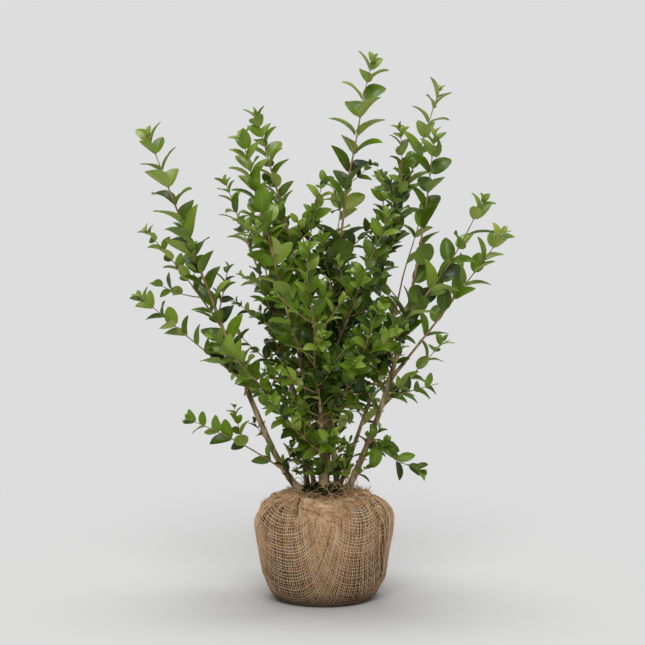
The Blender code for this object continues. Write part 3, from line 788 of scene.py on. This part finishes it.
def twig_tubes(lines):
    """Every twig as a tube that tapers evenly: the longer, the thicker, between two limits."""
    lengths = np.linalg.norm(lines[:, -1] - lines[:, 0], axis=1)
    thick = np.clip(TWIG_SLIMNESS * lengths + TWIG_LEAST_RADIUS, *TWIG_RADII)
    radii = thick[:, None] * np.linspace(1.0, TWIG_TIP, TWIG_POINTS)
    reference = unit(np.cross(lines[:, -1] - lines[:, 0], np.array([0.3, 0.2, 1.0])))
    return tubes(lines, radii, TWIG_SIDES, reference[:, None])


# A blade's rows and columns of points, as shares of its length and of its half width
STATIONS = np.array([0.085, 0.125, 0.21, 0.335, 0.50, 0.67, 0.83, 0.94])
ACROSS = np.array([-1.0, -0.5, 0.0, 0.5, 1.0])
BLADE_SIDES = 8
# Middle and spread of a leaf's bend and fold, in radians, and of its half width as a share of its length
BLADE_BEND = (0.72, 0.6)
BLADE_FOLD = (0.44, 0.34)
BLADE_HALF_WIDTH = (0.288, 0.05)
BEND_POWER = 1.3
BEND_STEPS = 200
BASE_POWER = 0.62
TIP_POWER = 0.86
STALK_SHARE = 0.06
STALK_HALF_WIDTH = 0.0008
MARGIN_CURL = 0.16
MARGIN_WAVE = 0.05
MARGIN_WAVES = 1.1
BLADE_THICKNESS = np.array([0.00035, 0.0009, 0.00035])


def leaf_mesh(name, leaves, chance, finishes):
    """Leaves as closed blades of 72 faces.

    The midrib runs from a short stalk and bends down as a power of its length. The half width is a
    power of the length times a power of what is left, which makes a pointed oval. Both halves fold up
    from the midrib and curl over at the margin, and the margin waves. The under face hangs a leaf's
    thickness below, most at the midrib, and meets the upper face at the margin. The quads of the under
    face start at another corner, so that both faces bend along the same diagonals.
    """
    count = len(leaves.length)
    rows = len(STATIONS)
    shapes = (BLADE_BEND, BLADE_FOLD, BLADE_HALF_WIDTH)
    bend, fold, ratio = [middle + spread(chance, width, count)[:, None] for middle, width in shapes]
    phase = FULL_TURN * chance.random(count)[:, None]
    fine = np.linspace(0.0, 1.0, BEND_STEPS + 1)
    angle = bend * fine ** BEND_POWER
    marks = np.round(np.concatenate([[0.0], STATIONS, [1.0]]) * BEND_STEPS).astype(int)
    ahead, down = [
        np.cumsum(way(angle) * np.diff(fine, prepend=0.0), axis=1)[:, marks, None] for way in (np.cos, np.sin)
    ]
    angle = angle[:, marks, None]
    along, upper = leaves.along[:, None], leaves.upper[:, None]
    spine = leaves.root[:, None] + leaves.length[:, None, None] * (ahead * along - down * upper)
    normal = (np.cos(angle) * upper + np.sin(angle) * along)[:, 1:-1, None]
    blade = np.clip((STATIONS - STALK_SHARE) / (1.0 - STALK_SHARE), 0.0, 1.0)
    widest = BASE_POWER / (BASE_POWER + TIP_POWER)
    oval = (blade / widest) ** BASE_POWER * ((1.0 - blade) / (1.0 - widest)) ** TIP_POWER
    half = leaves.length[:, None] * (ratio * oval)
    half[:, 0] = STALK_HALF_WIDTH
    half, fold, out = half[..., None], fold[..., None], np.abs(ACROSS)
    side = np.cross(leaves.along, leaves.upper)[:, None, None]
    wave = np.sin(FULL_TURN * MARGIN_WAVES * STATIONS[:, None] + phase[..., None]) * np.sign(ACROSS)
    high = out * np.sin(fold) - MARGIN_CURL * out ** 3 + MARGIN_WAVE * wave * out ** 2
    faces_up = spine[:, 1:-1, None] + (half * ACROSS * np.cos(fold))[..., None] * side
    faces_up = faces_up + (half * high)[..., None] * normal
    faces_down = faces_up[:, :, 1:4] - BLADE_THICKNESS[:, None] * normal
    rings = np.concatenate([faces_up, faces_down[:, :, ::-1]], axis=2).reshape(count, -1, 3)
    points = np.concatenate([rings, spine[:, [0, -1]]], axis=1)
    quads, fans = ring_faces(rows, BLADE_SIDES)
    under = np.arange(len(quads)) % BLADE_SIDES >= BLADE_SIDES // 2
    quads[under] = np.roll(quads[under], -1, axis=1)
    across = 0.5 + 0.5 * np.concatenate([ACROSS, ACROSS[3:0:-1]])
    places = np.stack([np.repeat(STATIONS, BLADE_SIDES), np.tile(across, rows)], axis=1)
    return new_mesh(
        name,
        points.reshape(-1, 3),
        [repeated(faces, count, points.shape[1]) for faces in (quads, fans)],
        finishes,
        slots=np.tile(np.repeat([0, 1], BLADE_SIDES // 2), (rows + 1) * count),
        uv=np.tile(np.vstack([places, [0.0, 0.5], [1.0, 0.5]]), (count, 1)),
        sharp=np.tile(np.append(np.tile(across % 1.0 == 0.0, rows), [True, True]), count),
    )


# Root ball


def wall_table():
    """Radius and height along the ball's outline, from the middle of its underside to its rim.

    The wall is a power of a sine from the foot to the belly, and the shoulder a quarter ellipse from
    the belly to the neck; the last stretch rises over the rim and dips to the seat.
    """
    floor = np.stack([np.linspace(0.0, FOOT_RADIUS, 20), np.zeros(20)], axis=1)
    share = np.linspace(0.0, 1.0, 60)[1:]
    bulge = np.sin(0.5 * math.pi * share) ** WALL_POWER
    wall = np.stack([FOOT_RADIUS + (BELLY_RADIUS - FOOT_RADIUS) * bulge, share * BELLY_HEIGHT], axis=1)
    turn = np.linspace(0.0, 0.5 * math.pi, 40)[1:]
    reach = NECK_RADIUS + (BELLY_RADIUS - NECK_RADIUS) * np.cos(turn)
    rise = BELLY_HEIGHT + (SEAT_HEIGHT - BELLY_HEIGHT) * np.sin(turn)
    rim = [[0.5 * (SEAT_RADIUS + NECK_RADIUS), SEAT_HEIGHT + RIM_RISE], [SEAT_RADIUS, SEAT_HEIGHT]]
    table = np.vstack([floor, wall, np.stack([reach, rise], axis=1), rim])
    return run_along(table), table


WALL_RUNS, WALL_TABLE = wall_table()
RIM_RUN = float(WALL_RUNS[-2])

# Gathers, tucks and creases of the wrap that the viewer sees. Each runs from one place to another, given
# twice as a turn round the ball in degrees and a distance along its outline. Then come its height, which
# is below 0 where it sinks in, and its width.
FOLDS = [
    (-128, 0.325, -58, 0.325, -0.0060, 0.0200),
    (-138, 0.316, -150, 0.239, 0.0055, 0.0045),
    (-152, 0.312, -172, 0.240, 0.0030, 0.0050),
    (-145, 0.310, -160, 0.245, -0.0050, 0.0030),
    (-128, 0.300, -134, 0.262, 0.0060, 0.0035),
    (-163, 0.319, -190, 0.262, 0.0016, 0.0055),
    (-142, 0.318, -126, 0.304, 0.0060, 0.0060),
    (-122, 0.290, -115, 0.256, -0.0085, 0.0032),
    (-118, 0.272, -76, 0.241, -0.0060, 0.0040),
    (6, 0.312, -4, 0.240, 0.0016, 0.0050),
    (-10, 0.310, -21, 0.236, 0.0045, 0.0045),
    (-17, 0.308, -28, 0.250, -0.0050, 0.0030),
    (-24, 0.309, -35, 0.247, 0.0070, 0.0045),
    (-42, 0.306, -48, 0.262, 0.0055, 0.0040),
    (-34, 0.272, -27, 0.248, -0.0075, 0.0030),
    (-24, 0.235, -9, 0.125, 0.0035, 0.0045),
    (-33, 0.235, -18, 0.130, -0.0055, 0.0035),
    (-177, 0.240, -168, 0.140, 0.0020, 0.0050),
    (-175, 0.283, -178, 0.290, 0.0060, 0.0045),
    (-8, 0.300, -5, 0.306, 0.0045, 0.0045),
]
FOLD_DRAWS = 920
BACK_FOLDS = 8
BACK_FOLD_EVERY = 19.0
WAIST = -0.0048
WAIST_RUN = 0.179
WAIST_WIDTH = 0.036
LIP = -0.0026
LIP_WIDTH = 0.0085
LIP_BUMPS = ((0.45, 9, 0, 1.0), (0.3, 16, 0, 2.0))
PLEAT = 0.0012
PLEATS_FROM = 0.235


def back_folds():
    """Gathers round the ball's far side, like those in front."""
    chance = chances(FOLD_DRAWS)
    found = []
    for index in range(BACK_FOLDS):
        turn = 22.0 + BACK_FOLD_EVERY * index + spread(chance, 8.0)
        end = turn + spread(chance, 30.0)
        low = 0.235 + spread(chance, 0.04)
        found.append((turn, 0.314, end, low, 0.0032 + spread(chance, 0.002), 0.0047))
    return found


def fold_height(turn, run):
    """How far the folds lift the cloth: each is a bell across its own line, and the lip a bumpy ring.

    Fine pleats run down from the neck, and the cloth is drawn in a little under the belly.
    """
    height = np.zeros(np.broadcast(turn, run).shape)
    for first, low, last, high, rise, width in FOLDS + back_folds():
        radius = outline_at(0.5 * (low + high))[0]
        over, up = math.radians(last - first) * radius, high - low
        aside = ((turn - math.radians(first) + math.pi) % FULL_TURN - math.pi) * radius
        beyond = run - low
        share = np.clip((aside * over + beyond * up) / (over * over + up * up), 0.0, 1.0)
        square = (aside - share * over) ** 2 + (beyond - share * up) ** 2
        height = height + rise * np.exp(-square / width ** 2)
    pleats = np.sin(44 * turn + 3 * np.sin(5 * turn + 9 * run))
    pleats = pleats + 0.7 * np.sin(71 * turn + 4 * np.sin(3 * turn))
    height = height + PLEAT * pleats * ease(run, PLEATS_FROM, RIM_RUN)
    height = height + WAIST * np.exp(-((run - WAIST_RUN) / WAIST_WIDTH) ** 2)
    lip = LIP * (1.0 + ripples(turn, run, *LIP_BUMPS))
    return height + lip * np.exp(-((run - RIM_RUN) / LIP_WIDTH) ** 2)


def outline_at(run):
    """The ball's radius and height at a distance along its outline."""
    return np.array([np.interp(run, WALL_RUNS, side) for side in WALL_TABLE.T])


def ball_point(turn, run, lift):
    """A place on the wrap: a turn round the ball, a distance along its outline and a height above it."""
    lift = lift + fold_height(turn, run)
    radius, height = outline_at(run)
    over, up = outline_at(run + 0.002) - outline_at(run - 0.002)
    steep = np.hypot(over, up) + 1e-9
    radius = radius + swell(turn, height) + lift * up / steep
    height = height - lift * over / steep
    return np.stack([radius * np.cos(turn), radius * np.sin(turn), height], axis=-1)


def swell(turn, height):
    """The ball's soft lumps and the gathers of its neck, by the part's own rule."""
    wall = np.sin(math.pi * np.clip(height / SEAT_HEIGHT, 0.0, 1.0))
    few, many = [np.sin(count * turn + start) for count, start in zip(LUMPS_ROUND, LUMP_STARTS)]
    neck = np.clip((height - BELLY_HEIGHT) / (SEAT_HEIGHT - BELLY_HEIGHT), 0.0, 1.0)
    gathers = GATHER * neck * (1.0 - neck) * np.sin(GATHERS_ROUND * turn + GATHER_START)
    return wall * (LUMP * few + SMALL_LUMP * many) + gathers


# Where round the ball the middle of each side of the square cloth comes up, in degrees
CLOTH_MIDDLES = np.array([-124.0, -58.0, 40.0, 138.0, 236.0])
CLOTH_FLAT = 0.085
CLOTH_EASE = 0.7
# Hessian with a coarse thread about every 6 mm, over soil some way behind it
THREAD_PITCH = 0.0057
THREAD_THICK = 0.00075
THREAD_THICK_SPREAD = 0.5
THREAD_DIP = 0.00065
THREAD_LIFT = 0.0010
THREAD_PLACE_SPREAD = 0.3
THREAD_WANDERS = ((0.0005, 0.37), (0.0003, 1.1))
THREAD_SHARES = (0.42, 0.38, 0.20)
UNDERSIDE_LEFT_OUT = 0.066
FRAYED_EDGE = (0.002, 0.004)
WEAVE_DRAWS = 910
SOIL_DEPTH = -0.0060
BALL_SIDES = 400


def cloth_turn(angle, reach):
    """Turn round the ball for an angle round the cloth, through the middles of its sides.

    Between two middles it is a cubic that leaves and arrives at a set slope, so the cloth is spread
    over the middles and crowded on the bias between them, more so further up the ball.
    """
    quarter = angle / (0.5 * math.pi)
    index = np.clip(np.floor(quarter).astype(int), 0, 3)
    share = quarter - index
    low, high = CLOTH_MIDDLES[index], CLOTH_MIDDLES[index + 1]
    slope = 90.0 * (1.0 + CLOTH_EASE * np.maximum(0.0, reach - CLOTH_FLAT))
    cubic = (2 * share ** 3 - 3 * share ** 2 + 1) * low + (3 * share ** 2 - 2 * share ** 3) * high
    return np.radians(cubic + slope * (2 * share ** 3 - 3 * share ** 2 + share))


def cloth_point(along, across, lift):
    """A square cloth drawn up round the ball: distance from its middle becomes distance up the wall."""
    angle = np.arctan2(across, along) % FULL_TURN
    reach = np.hypot(along, across)
    return ball_point(cloth_turn(angle, reach), reach, lift)


def wrap_threads(chance, swapped):
    """Threads of one direction of the weave, each over and under the ones that cross it.

    A thread keeps its place in the cloth, apart from a slow wander, and the ball carries it up as a
    long U on either side. Every second crossing is under. Most of the underside has none.
    """
    reach = int(RIM_RUN / THREAD_PITCH)
    crossings = np.arange(-reach - 1, reach + 2)
    parts = []
    for index in range(-reach, reach + 1):
        place = (index + spread(chance, THREAD_PLACE_SPREAD)) * THREAD_PITCH
        edge = RIM_RUN + FRAYED_EDGE[0] + FRAYED_EDGE[1] * chance.random()
        if abs(place) >= edge:
            continue
        widest = math.sqrt(edge ** 2 - place ** 2)
        inner = math.sqrt(max(0.0, UNDERSIDE_LEFT_OUT ** 2 - place ** 2))
        width = THREAD_THICK * (1.0 + spread(chance, THREAD_THICK_SPREAD))
        waves = [high * np.sin(crossings * rate + 6.0 * chance.random()) for high, rate in THREAD_WANDERS]
        wander = sum(waves)
        for sign in ((-1, 1) if inner > 0 else (0,)):
            kept = np.abs(crossings * THREAD_PITCH) <= widest
            if sign:
                kept = kept & (sign * crossings * THREAD_PITCH > inner)
            steps = crossings[kept]
            if len(steps) < 4:
                continue
            lift = THREAD_LIFT + THREAD_DIP * np.where((steps + index + swapped) % 2 == 0, 1.0, -1.0)
            first, second = place + wander[kept], steps * THREAD_PITCH
            if swapped:
                first, second = second, first
            path = cloth_point(first, second, lift)
            outward = cloth_point(first, second, lift + 0.001) - path
            path[:, 2] = np.maximum(path[:, 2], THREAD_THICK)
            parts.append(tubes(path[None], np.full((1, len(steps)), width), 4, outward[None], flat=0.7))
    return parts


def ball_body(finishes):
    """The ball under its wrap: soil up to the shoulder, and close cloth above it and over the lip."""
    low, high = np.linspace(0.0, PLEATS_FROM, 60), np.linspace(PLEATS_FROM, RIM_RUN + 0.004, 70)
    runs = np.concatenate([low, high[1:], [WALL_RUNS[-1]]])
    turns = np.linspace(0.0, FULL_TURN, BALL_SIDES, endpoint=False)
    run, turn = np.meshgrid(runs[1:], turns, indexing="ij")
    grid = ball_point(turn, run, SOIL_DEPTH)
    grid[..., 2] = np.maximum(grid[..., 2], 0.0)
    edge = RIM_RUN - 0.040 + ripples(turn, run, (0.008, 3, 0, 0.0), (0.006, 7, 0, 1.0))
    poles = np.array([[0.0, 0.0, 0.0], [0.0, 0.0, SEAT_HEIGHT]])
    points = np.vstack([grid.reshape(-1, 3), poles])[None]
    clothed = np.pad((run > edge)[:-1], ((0, 2), (0, 0))).ravel()
    return ringed_mesh("ball_body", [(points, BALL_SIDES)], finishes, clothed)


# Cloth that is rolled and tucked in: where each roll starts and ends on the wrap, and its thickness
ROLLS = [
    ((-125, 0.306), (-64, 0.258), 0.0078),
    ((-118, 0.274), (-80, 0.243), 0.0050),
    ((-139, 0.317), (-158, 0.268), 0.0038),
    ((-150, 0.318), (-178, 0.282), 0.0030),
    ((-28, 0.308), (-22, 0.262), 0.0040),
    ((-62, 0.312), (-38, 0.300), 0.0040),
    ((20, 0.300), (48, 0.262), 0.0042),
    ((95, 0.306), (70, 0.262), 0.0040),
    ((128, 0.304), (158, 0.258), 0.0042),
]
# Dark soil-coloured rolls laid along the deepest creases as painted shade, given in the same way
SHADE_CREASES = [
    ((-124, 0.308), (-118, 0.276), 0.0022),
    ((-116, 0.280), (-88, 0.257), 0.0012),
    ((-152, 0.302), (-160, 0.276), 0.0014),
    ((-34, 0.284), (-31, 0.268), 0.0011),
]
ROLL_RIDGES = ((0.24, 3, 1, 0.0), (0.11, 7, 2.3, 1.0))
ROLL_SIDES = 26
ROLL_POINTS = 90
ROLL_SINK = 0.25
ROLL_LAY = 0.019


def wrap_rolls(name, rolls, finish):
    """Twisted rolls of cloth, or of dark soil that paints shade into creases: each thins at both ends, and
    ridges wind round it as on a rope.
    """
    chance = chances(FOLD_DRAWS + 3)
    share = np.linspace(0.0, 1.0, ROLL_POINTS)
    ring = FULL_TURN * np.arange(ROLL_SIDES) / ROLL_SIDES
    parts = []
    for (first, low), (last, high), thick in rolls:
        wander = 1.2 * np.sin(7 * share + 6 * chance.random())
        turn = np.radians(first + (last - first) * share + wander)
        run = low + (high - low) * share + 0.0012 * np.sin(11 * share + 6 * chance.random())
        path = ball_point(turn, run, ROLL_SINK * thick)
        outward = ball_point(turn, run, ROLL_SINK * thick + 0.001) - path
        wound = FULL_TURN * share[:, None] * np.linalg.norm(path[-1] - path[0]) / ROLL_LAY
        relief = ripples(ring, wound, *ROLL_RIDGES)
        radii = thick * np.sin(math.pi * (0.06 + 0.88 * share)) ** 0.6
        parts.append(tubes(path[None], radii[None], ROLL_SIDES, outward[None], relief[None], flat=0.8))
    return ringed_mesh(name, parts, [finish])


# Soil, straw, roots and loose fibres

MOUND_RADIUS = 0.0535
MOUND_RISE = 0.0190
MOUND_WAVE = 0.0011
MOUND_DEPTH = 0.004
MOUND_SIDES = 110
WISP_POINTS = 9

# Frayed jute, on the lip, over the band, at two corners of the cloth and all over. Each set has a count,
# the limits of its turn round the ball, distance along its outline and length, its curl, how far it
# stands out and sinks, and the limits of its thickness.
FIBRES = [
    (620, (0, FULL_TURN), (RIM_RUN - 0.016, RIM_RUN + 0.003), (0.009, 0.024), 0.0036, 0.7, 0.3, (3e-4, 7e-4)),
    (420, (-2.25, -1.10), (0.246, 0.306), (0.004, 0.011), 0.0011, 0.25, 0.2, (3e-4, 6e-4)),
    (26, (-3.12, -3.03), (0.262, 0.274), (0.005, 0.012), 0.0012, 1.2, -0.2, (4e-4, 7e-4)),
    (26, (-0.16, -0.06), (0.299, 0.307), (0.005, 0.014), 0.0014, 1.2, -0.2, (4e-4, 7e-4)),
    (700, (0.0, FULL_TURN), (0.10, RIM_RUN), (0.004, 0.012), 0.0012, 0.5, 0.1, (2e-4, 3.5e-4)),
]
FIBRE_HEADING_SPREAD = 0.6
FIBRE_CLEAR = 0.0006

# Litter on the loam: a count, how far out it lies, the limits of its length, thickness and curl, how much
# it rises and sinks, its sides, and the share of its thickness that is left at the tip
LITTER = [
    ("soil_crumbs", 500, 0.055, (0.0012, 0.0034), (0.0009, 0.0022), (0.0002, 0.0008), 0.3, 0.0, 5, 0.7),
    ("moss", 700, 0.050, (0.0025, 0.0065), (0.0004, 0.0008), (0.0004, 0.0010), 1.2, 0.0, 3, 0.4),
    ("straw", 46, 0.050, (0.022, 0.060), (0.0005, 0.0009), (0.0015, 0.0070), 0.35, 0.25, 5, 0.7),
]

# Dry roots and stalks that arch out of the loam: where each starts, what it bends towards and where it ends
ROOTS = [
    ((0.031, -0.028, 0.195), (0.062, -0.040, 0.280), (0.0600, -0.046, 0.196)),
    ((0.012, -0.034, 0.196), (0.020, -0.062, 0.240), (0.0420, -0.060, 0.192)),
    ((-0.018, -0.030, 0.196), (-0.004, -0.064, 0.226), (0.0140, -0.058, 0.190)),
    ((-0.030, 0.024, 0.196), (-0.052, 0.044, 0.236), (-0.058, 0.050, 0.190)),
    ((0.020, 0.036, 0.196), (0.030, 0.066, 0.236), (0.012, 0.066, 0.188)),
]
ROOT_THICK = 0.0008
ROOT_WANDER = 0.0011


def mound_height(places):
    """Height of the heaped loam: a low dome with waves, by the place (x, y)."""
    x, y = places[..., 0], places[..., 1]
    share = np.clip((x * x + y * y) / MOUND_RADIUS ** 2, 0.0, 1.0)
    waves = np.sin(160 * x + 1) * np.cos(190 * y) + 0.6 * np.sin(340 * x - 210 * y)
    waves = waves + 0.4 * np.cos(520 * y + 300 * x)
    return SEAT_HEIGHT + MOUND_RISE * (1.0 - share) + MOUND_WAVE * waves * (1.0 - share ** 4)


def soil_mound(finish):
    """Loam heaped round the stems' feet, closed by a flat underside."""
    reach = np.concatenate([[1.0], np.linspace(1.0, 0.0, 34)[:-1]])
    turns = np.linspace(0.0, FULL_TURN, MOUND_SIDES, endpoint=False)
    reach, turn = np.meshgrid(reach, turns, indexing="ij")
    places = MOUND_RADIUS * np.stack([reach * np.cos(turn), reach * np.sin(turn)], axis=-1)
    high = mound_height(places)
    high[0] = SEAT_HEIGHT - MOUND_DEPTH
    grid = np.concatenate([places, high[..., None]], axis=-1)
    poles = np.array([[0.0, 0.0, SEAT_HEIGHT - MOUND_DEPTH], [0.0, 0.0, mound_height(np.zeros(2))]])
    points = np.vstack([grid.reshape(-1, 3), poles])[None]
    return ringed_mesh("soil_mound", [(points, MOUND_SIDES)], [finish])


def wisps(chance, starts, headings, lengths, curl, coils, drop):
    """Paths of loose strands: each runs out straight, coils round that line and sinks as share squared."""
    headings = unit(headings)[:, None]
    share = np.linspace(0.0, 1.0, WISP_POINTS)[None, :, None]
    first = square_to(chance.normal(size=headings.shape), headings)
    second = np.cross(headings, first)
    phase = FULL_TURN * chance.random((len(starts), 1, 1))
    curl, coils, reach = [value[:, None, None] for value in (curl, coils, lengths)]
    coil = FULL_TURN * coils * share + phase
    aside = (np.cos(coil) - np.cos(phase)) * first + (np.sin(coil) - np.sin(phase)) * second
    return starts[:, None] + reach * share * headings + curl * aside - drop * reach * share ** 2 * UPRIGHT


def strands(name, chance, paths, thick, sides, finish, tip=0.5):
    """Tubes round such paths, each thinning to its tip."""
    radii = thick[:, None] * np.linspace(1.0, tip, paths.shape[1])
    reference = unit(chance.normal(size=(len(paths), 1, 3)))
    return ringed_mesh(name, [tubes(paths, radii, sides, reference)], [finish])


def loose_fibres(finish):
    """Frayed jute: a fringe of curls over the lip, tufts at the cloth's corners, and hairs all over."""
    chance = chances(FOLD_DRAWS + 1)
    sets, thick = [], []
    for count, turns, runs, lengths, curls, outward, drop, widths in FIBRES:
        thick.append(between_two(chance, *widths, count))
        turn, run = between_two(chance, *turns, count), between_two(chance, *runs, count)
        starts = ball_point(turn, run, 0.0)
        normals = unit(ball_point(turn, run, 0.001) - starts)
        headings = outward * normals + FIBRE_HEADING_SPREAD * chance.normal(size=(count, 3))
        length = between_two(chance, *lengths, count)
        coils = between_two(chance, 0.4, 1.6, count)
        curl = curls * (0.4 + chance.random(count))
        sets.append(wisps(chance, starts, headings, length, curl, coils, drop))
    paths = np.concatenate(sets)
    paths[..., 2] = np.maximum(paths[..., 2], FIBRE_CLEAR)
    return strands("wrap_fibres", chance, paths, np.concatenate(thick), 3, finish)


def litter(finish, name, count, widest, lengths, thick, curls, rise, drop, sides, tip):
    """Crumbs, moss or straw strewn over the heaped loam."""
    chance = chances(FOLD_DRAWS + count)
    turn = FULL_TURN * chance.random(count)
    reach = widest * np.sqrt(chance.random(count))
    places = np.stack([reach * np.cos(turn), reach * np.sin(turn)], axis=-1)
    starts = np.concatenate([places, mound_height(places)[:, None]], axis=-1)
    headings = chance.normal(size=(count, 3)) * np.array([1.0, 1.0, 0.3]) + rise * UPRIGHT
    length = between_two(chance, *lengths, count)
    coils = between_two(chance, 0.3, 1.0, count)
    curl = between_two(chance, *curls, count)
    paths = wisps(chance, starts, headings, length, curl, coils, drop)
    return strands(name, chance, paths, between_two(chance, *thick, count), sides, finish, tip)


def dry_roots(finish):
    """Thin arches, each a curve that is pulled towards its middle point, with a slight wander."""
    share = np.linspace(0.0, 1.0, 22)[:, None]
    start, middle, end = np.moveaxis(np.array(ROOTS), 1, 0)[:, :, None]
    paths = (1 - share) ** 2 * start + 2 * share * (1 - share) * middle + share ** 2 * end
    chance = chances(FOLD_DRAWS + 2)
    paths = paths + ROOT_WANDER * np.sin(9.0 * share + 6.0 * chance.random((len(paths), 1, 3)))
    return strands("dry_roots", chance, paths, np.full(len(paths), ROOT_THICK), 6, finish)


# Studio

BACKDROP = "#DDDDDD"
DOME = 0.22
OVERHEAD_LAMP = (-8.0, 34.0)
FRONT_LAMP = (50.0, 36.0)
FLOOR_WHITE = 0.8
FLOOR_HALF = 30.0
FRONT_SHARE = 0.25
LENS = 93.1
SENSOR = 36.0
CAMERA_PLACE = (-0.0027, -3.0, 0.62)
AIM_HEIGHT = 0.4995


def softbox(name, on_floor, lean, wide):
    """A broad lamp far away: what it gives the floor, how far it leans towards the viewer, and its width."""
    tilt = math.radians(lean)
    lamp = bpy.data.lights.new(name, "SUN")
    lamp.energy = math.pi * on_floor / math.cos(tilt)
    lamp.angle = math.radians(wide)
    placed(name, lamp, tipped=tilt)


def studio():
    """A pale floor and an even dome of light of the same brightness, so that they meet unseen.

    One softbox hangs over the plant, a little behind it, and a broader one leans well over to the viewer.
    """
    white = linear(BACKDROP)
    world = bpy.data.worlds.new("studio")
    world.use_nodes = True
    seen = add_node(world.node_tree, "LightPath", "Is Camera Ray")
    tones = {0: seen, 6: (DOME, DOME, DOME, 1.0), 7: white}
    tone = add_node(world.node_tree, "Mix", 2, tones, data_type="RGBA")
    fill(world.node_tree, world.node_tree.nodes["Background"], {"Color": tone})
    bpy.context.scene.world = world
    paper = {"Base Color": (FLOOR_WHITE, FLOOR_WHITE, FLOOR_WHITE, 1.0), "Specular IOR Level": 0.0}
    paper = new_finish("floor_matt_paper", {"Roughness": 1.0, "IOR": 1.0, **paper})[0]
    corners = FLOOR_HALF * np.array([[-1.0, -1.0, 0.0], [1.0, -1.0, 0.0], [1.0, 1.0, 0.0], [-1.0, 1.0, 0.0]])
    floor = new_mesh("floor", corners, [np.array([[0, 1, 2, 3]])], [paper])
    softbox("overhead", white[0] / FLOOR_WHITE - DOME - FRONT_SHARE, *OVERHEAD_LAMP)
    softbox("front", FRONT_SHARE, *FRONT_LAMP)
    bpy.context.scene.view_settings.view_transform = "Standard"


def camera():
    """A long lens at the photograph's height, tipped down a little."""
    lens = bpy.data.cameras.new("camera")
    lens.lens = LENS
    lens.sensor_width = SENSOR
    down = math.atan2(CAMERA_PLACE[2] - AIM_HEIGHT, -CAMERA_PLACE[1])
    bpy.context.scene.camera = placed("camera", lens, CAMERA_PLACE, 0.5 * math.pi - down)


# The plant

# Each tone's green where it is darker, where it is lighter and along the midrib, above and below the blade
# The tones run from darkest to lightest, and a leaf's tone carries painted light and shade as well as its age
# and chance
LEAF_TONES = [
    ("leaves_deep", ("#273A02", "#385006", "#6C7C2C"), ("#728A36", "#809642", "#98AA58")),
    ("leaves_dark", ("#425C05", "#56730B", "#829436"), ("#809840", "#8EA44C", "#A6B664")),
    ("leaves_mature_and_half_lit", ("#5E800E", "#73941A", "#96A848"), ("#90A64A", "#9EB256", "#B2C06E")),
    ("leaves_bright", ("#78922A", "#8AA438", "#A8B45C"), ("#9EB054", "#AABC60", "#BEC878")),
    ("leaves_fresh_and_lit", ("#8B9E3A", "#9BAE48", "#BAC46C"), ("#AAB85C", "#B6C46A", "#C6CE82")),
    ("leaves_young_and_lit", ("#ABB64E", "#BAC25C", "#D0D484"), ("#B8C064", "#C4CA72", "#D2D68C")),
]
BLADE_DRAWS = 900


def plant(limbs, masses):
    """Bark on limbs, leafy stems and twigs, and the leaves, apart by their greens."""
    axes = all_axes()
    old_bark = bark_finish("bark_grey_brown", "#5A4628", "#CCB48C", 1 / 110)
    young_bark = bark_finish("bark_young_red_brown", "#8C6E4C", "#C4A27C", 1 / 160)
    bare = [limb_tube(row, axes[row.name]) for row in CANES if row.bare]
    own_piece(ringed_mesh("bare_stems", bare, [old_bark]), limbs)
    leafy = [leafy_tube(row, axes[row.name]) for row in CANES]
    own_piece(ringed_mesh("leafy_stems", leafy, [young_bark]), masses)
    leaves, lines = grow(axes)
    own_piece(ringed_mesh("twigs", [twig_tubes(lines)], [young_bark]), masses)
    chance = chances(BLADE_DRAWS)
    # Each leaf's tone, which carries painted light and shade as well as age and chance, picks its piece and
    # finish
    level = np.clip(np.round(leaves.tone), 0, len(LEAF_TONES) - 1)
    for index, (name, upper, under) in enumerate(LEAF_TONES):
        some = Leaves(*[values[level == index] for values in leaves])
        glossy = leaf_finish(name + "_upper", *upper, roughness=0.44, wax=0.27)
        # The under faces are privet's paler green, made lighter still as painted light for light that shines
        # through the blade
        matt = leaf_finish(name + "_under", *under, roughness=0.60, wax=0.0)
        own_piece(leaf_mesh(name, some, chance, [glossy, matt]), masses)


def wrapped_ball():
    """The root ball, its wrap, and what lies on its soil."""
    jutes = [
        jute_finish("jute_spun_pale", "#F8CA9A", "#FFE6C0"),
        jute_finish("jute_spun_tan", "#E4B486", "#FCD4AA"),
        jute_finish("jute_spun_brown", "#C29064", "#E8BA90"),
    ]
    close_jute = jute_finish("jute_close_cloth", "#A67C56", "#E0B88E")
    rolled_jute = jute_finish("jute_rolled_cloth", "#C49A70", "#F4CEA6")
    soil = soil_finish()
    straw = bark_finish("straw_dry_bleached", "#A8895A", "#D2B988", 1 / 200)
    moss = bark_finish("moss_dark_green", "#3A4A18", "#66762C", 1 / 300)
    pieces = [ball_body([soil, close_jute]), soil_mound(soil), loose_fibres(jutes[1])]
    pieces.append(wrap_rolls("wrap_rolls", ROLLS, rolled_jute))
    # Painted shade: dark soil-coloured rolls along the deepest creases
    pieces.append(wrap_rolls("wrap_crease_shade", SHADE_CREASES, soil))
    for swapped, name in enumerate(("wrap_warp", "wrap_weft")):
        chance = chances(WEAVE_DRAWS + swapped)
        threads = wrap_threads(chance, swapped)
        picks = chance.choice(3, len(threads), p=THREAD_SHARES)
        pieces.append(ringed_mesh(name, threads, jutes, picks=picks))
    pieces += [litter(finish, *row) for finish, row in zip((soil, moss, straw), LITTER)]
    pieces.append(dry_roots(straw))
    for piece in pieces:
        own_piece(piece, ["root_ball"])


def main():
    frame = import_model()
    studio()
    camera()
    nodes = sorted(frame["nodes"])
    limbs = [name for name in nodes if name.startswith("stem_")]
    masses = [name for name in nodes if name.startswith("foliage_")]
    plant(limbs, masses)
    wrapped_ball()


main()
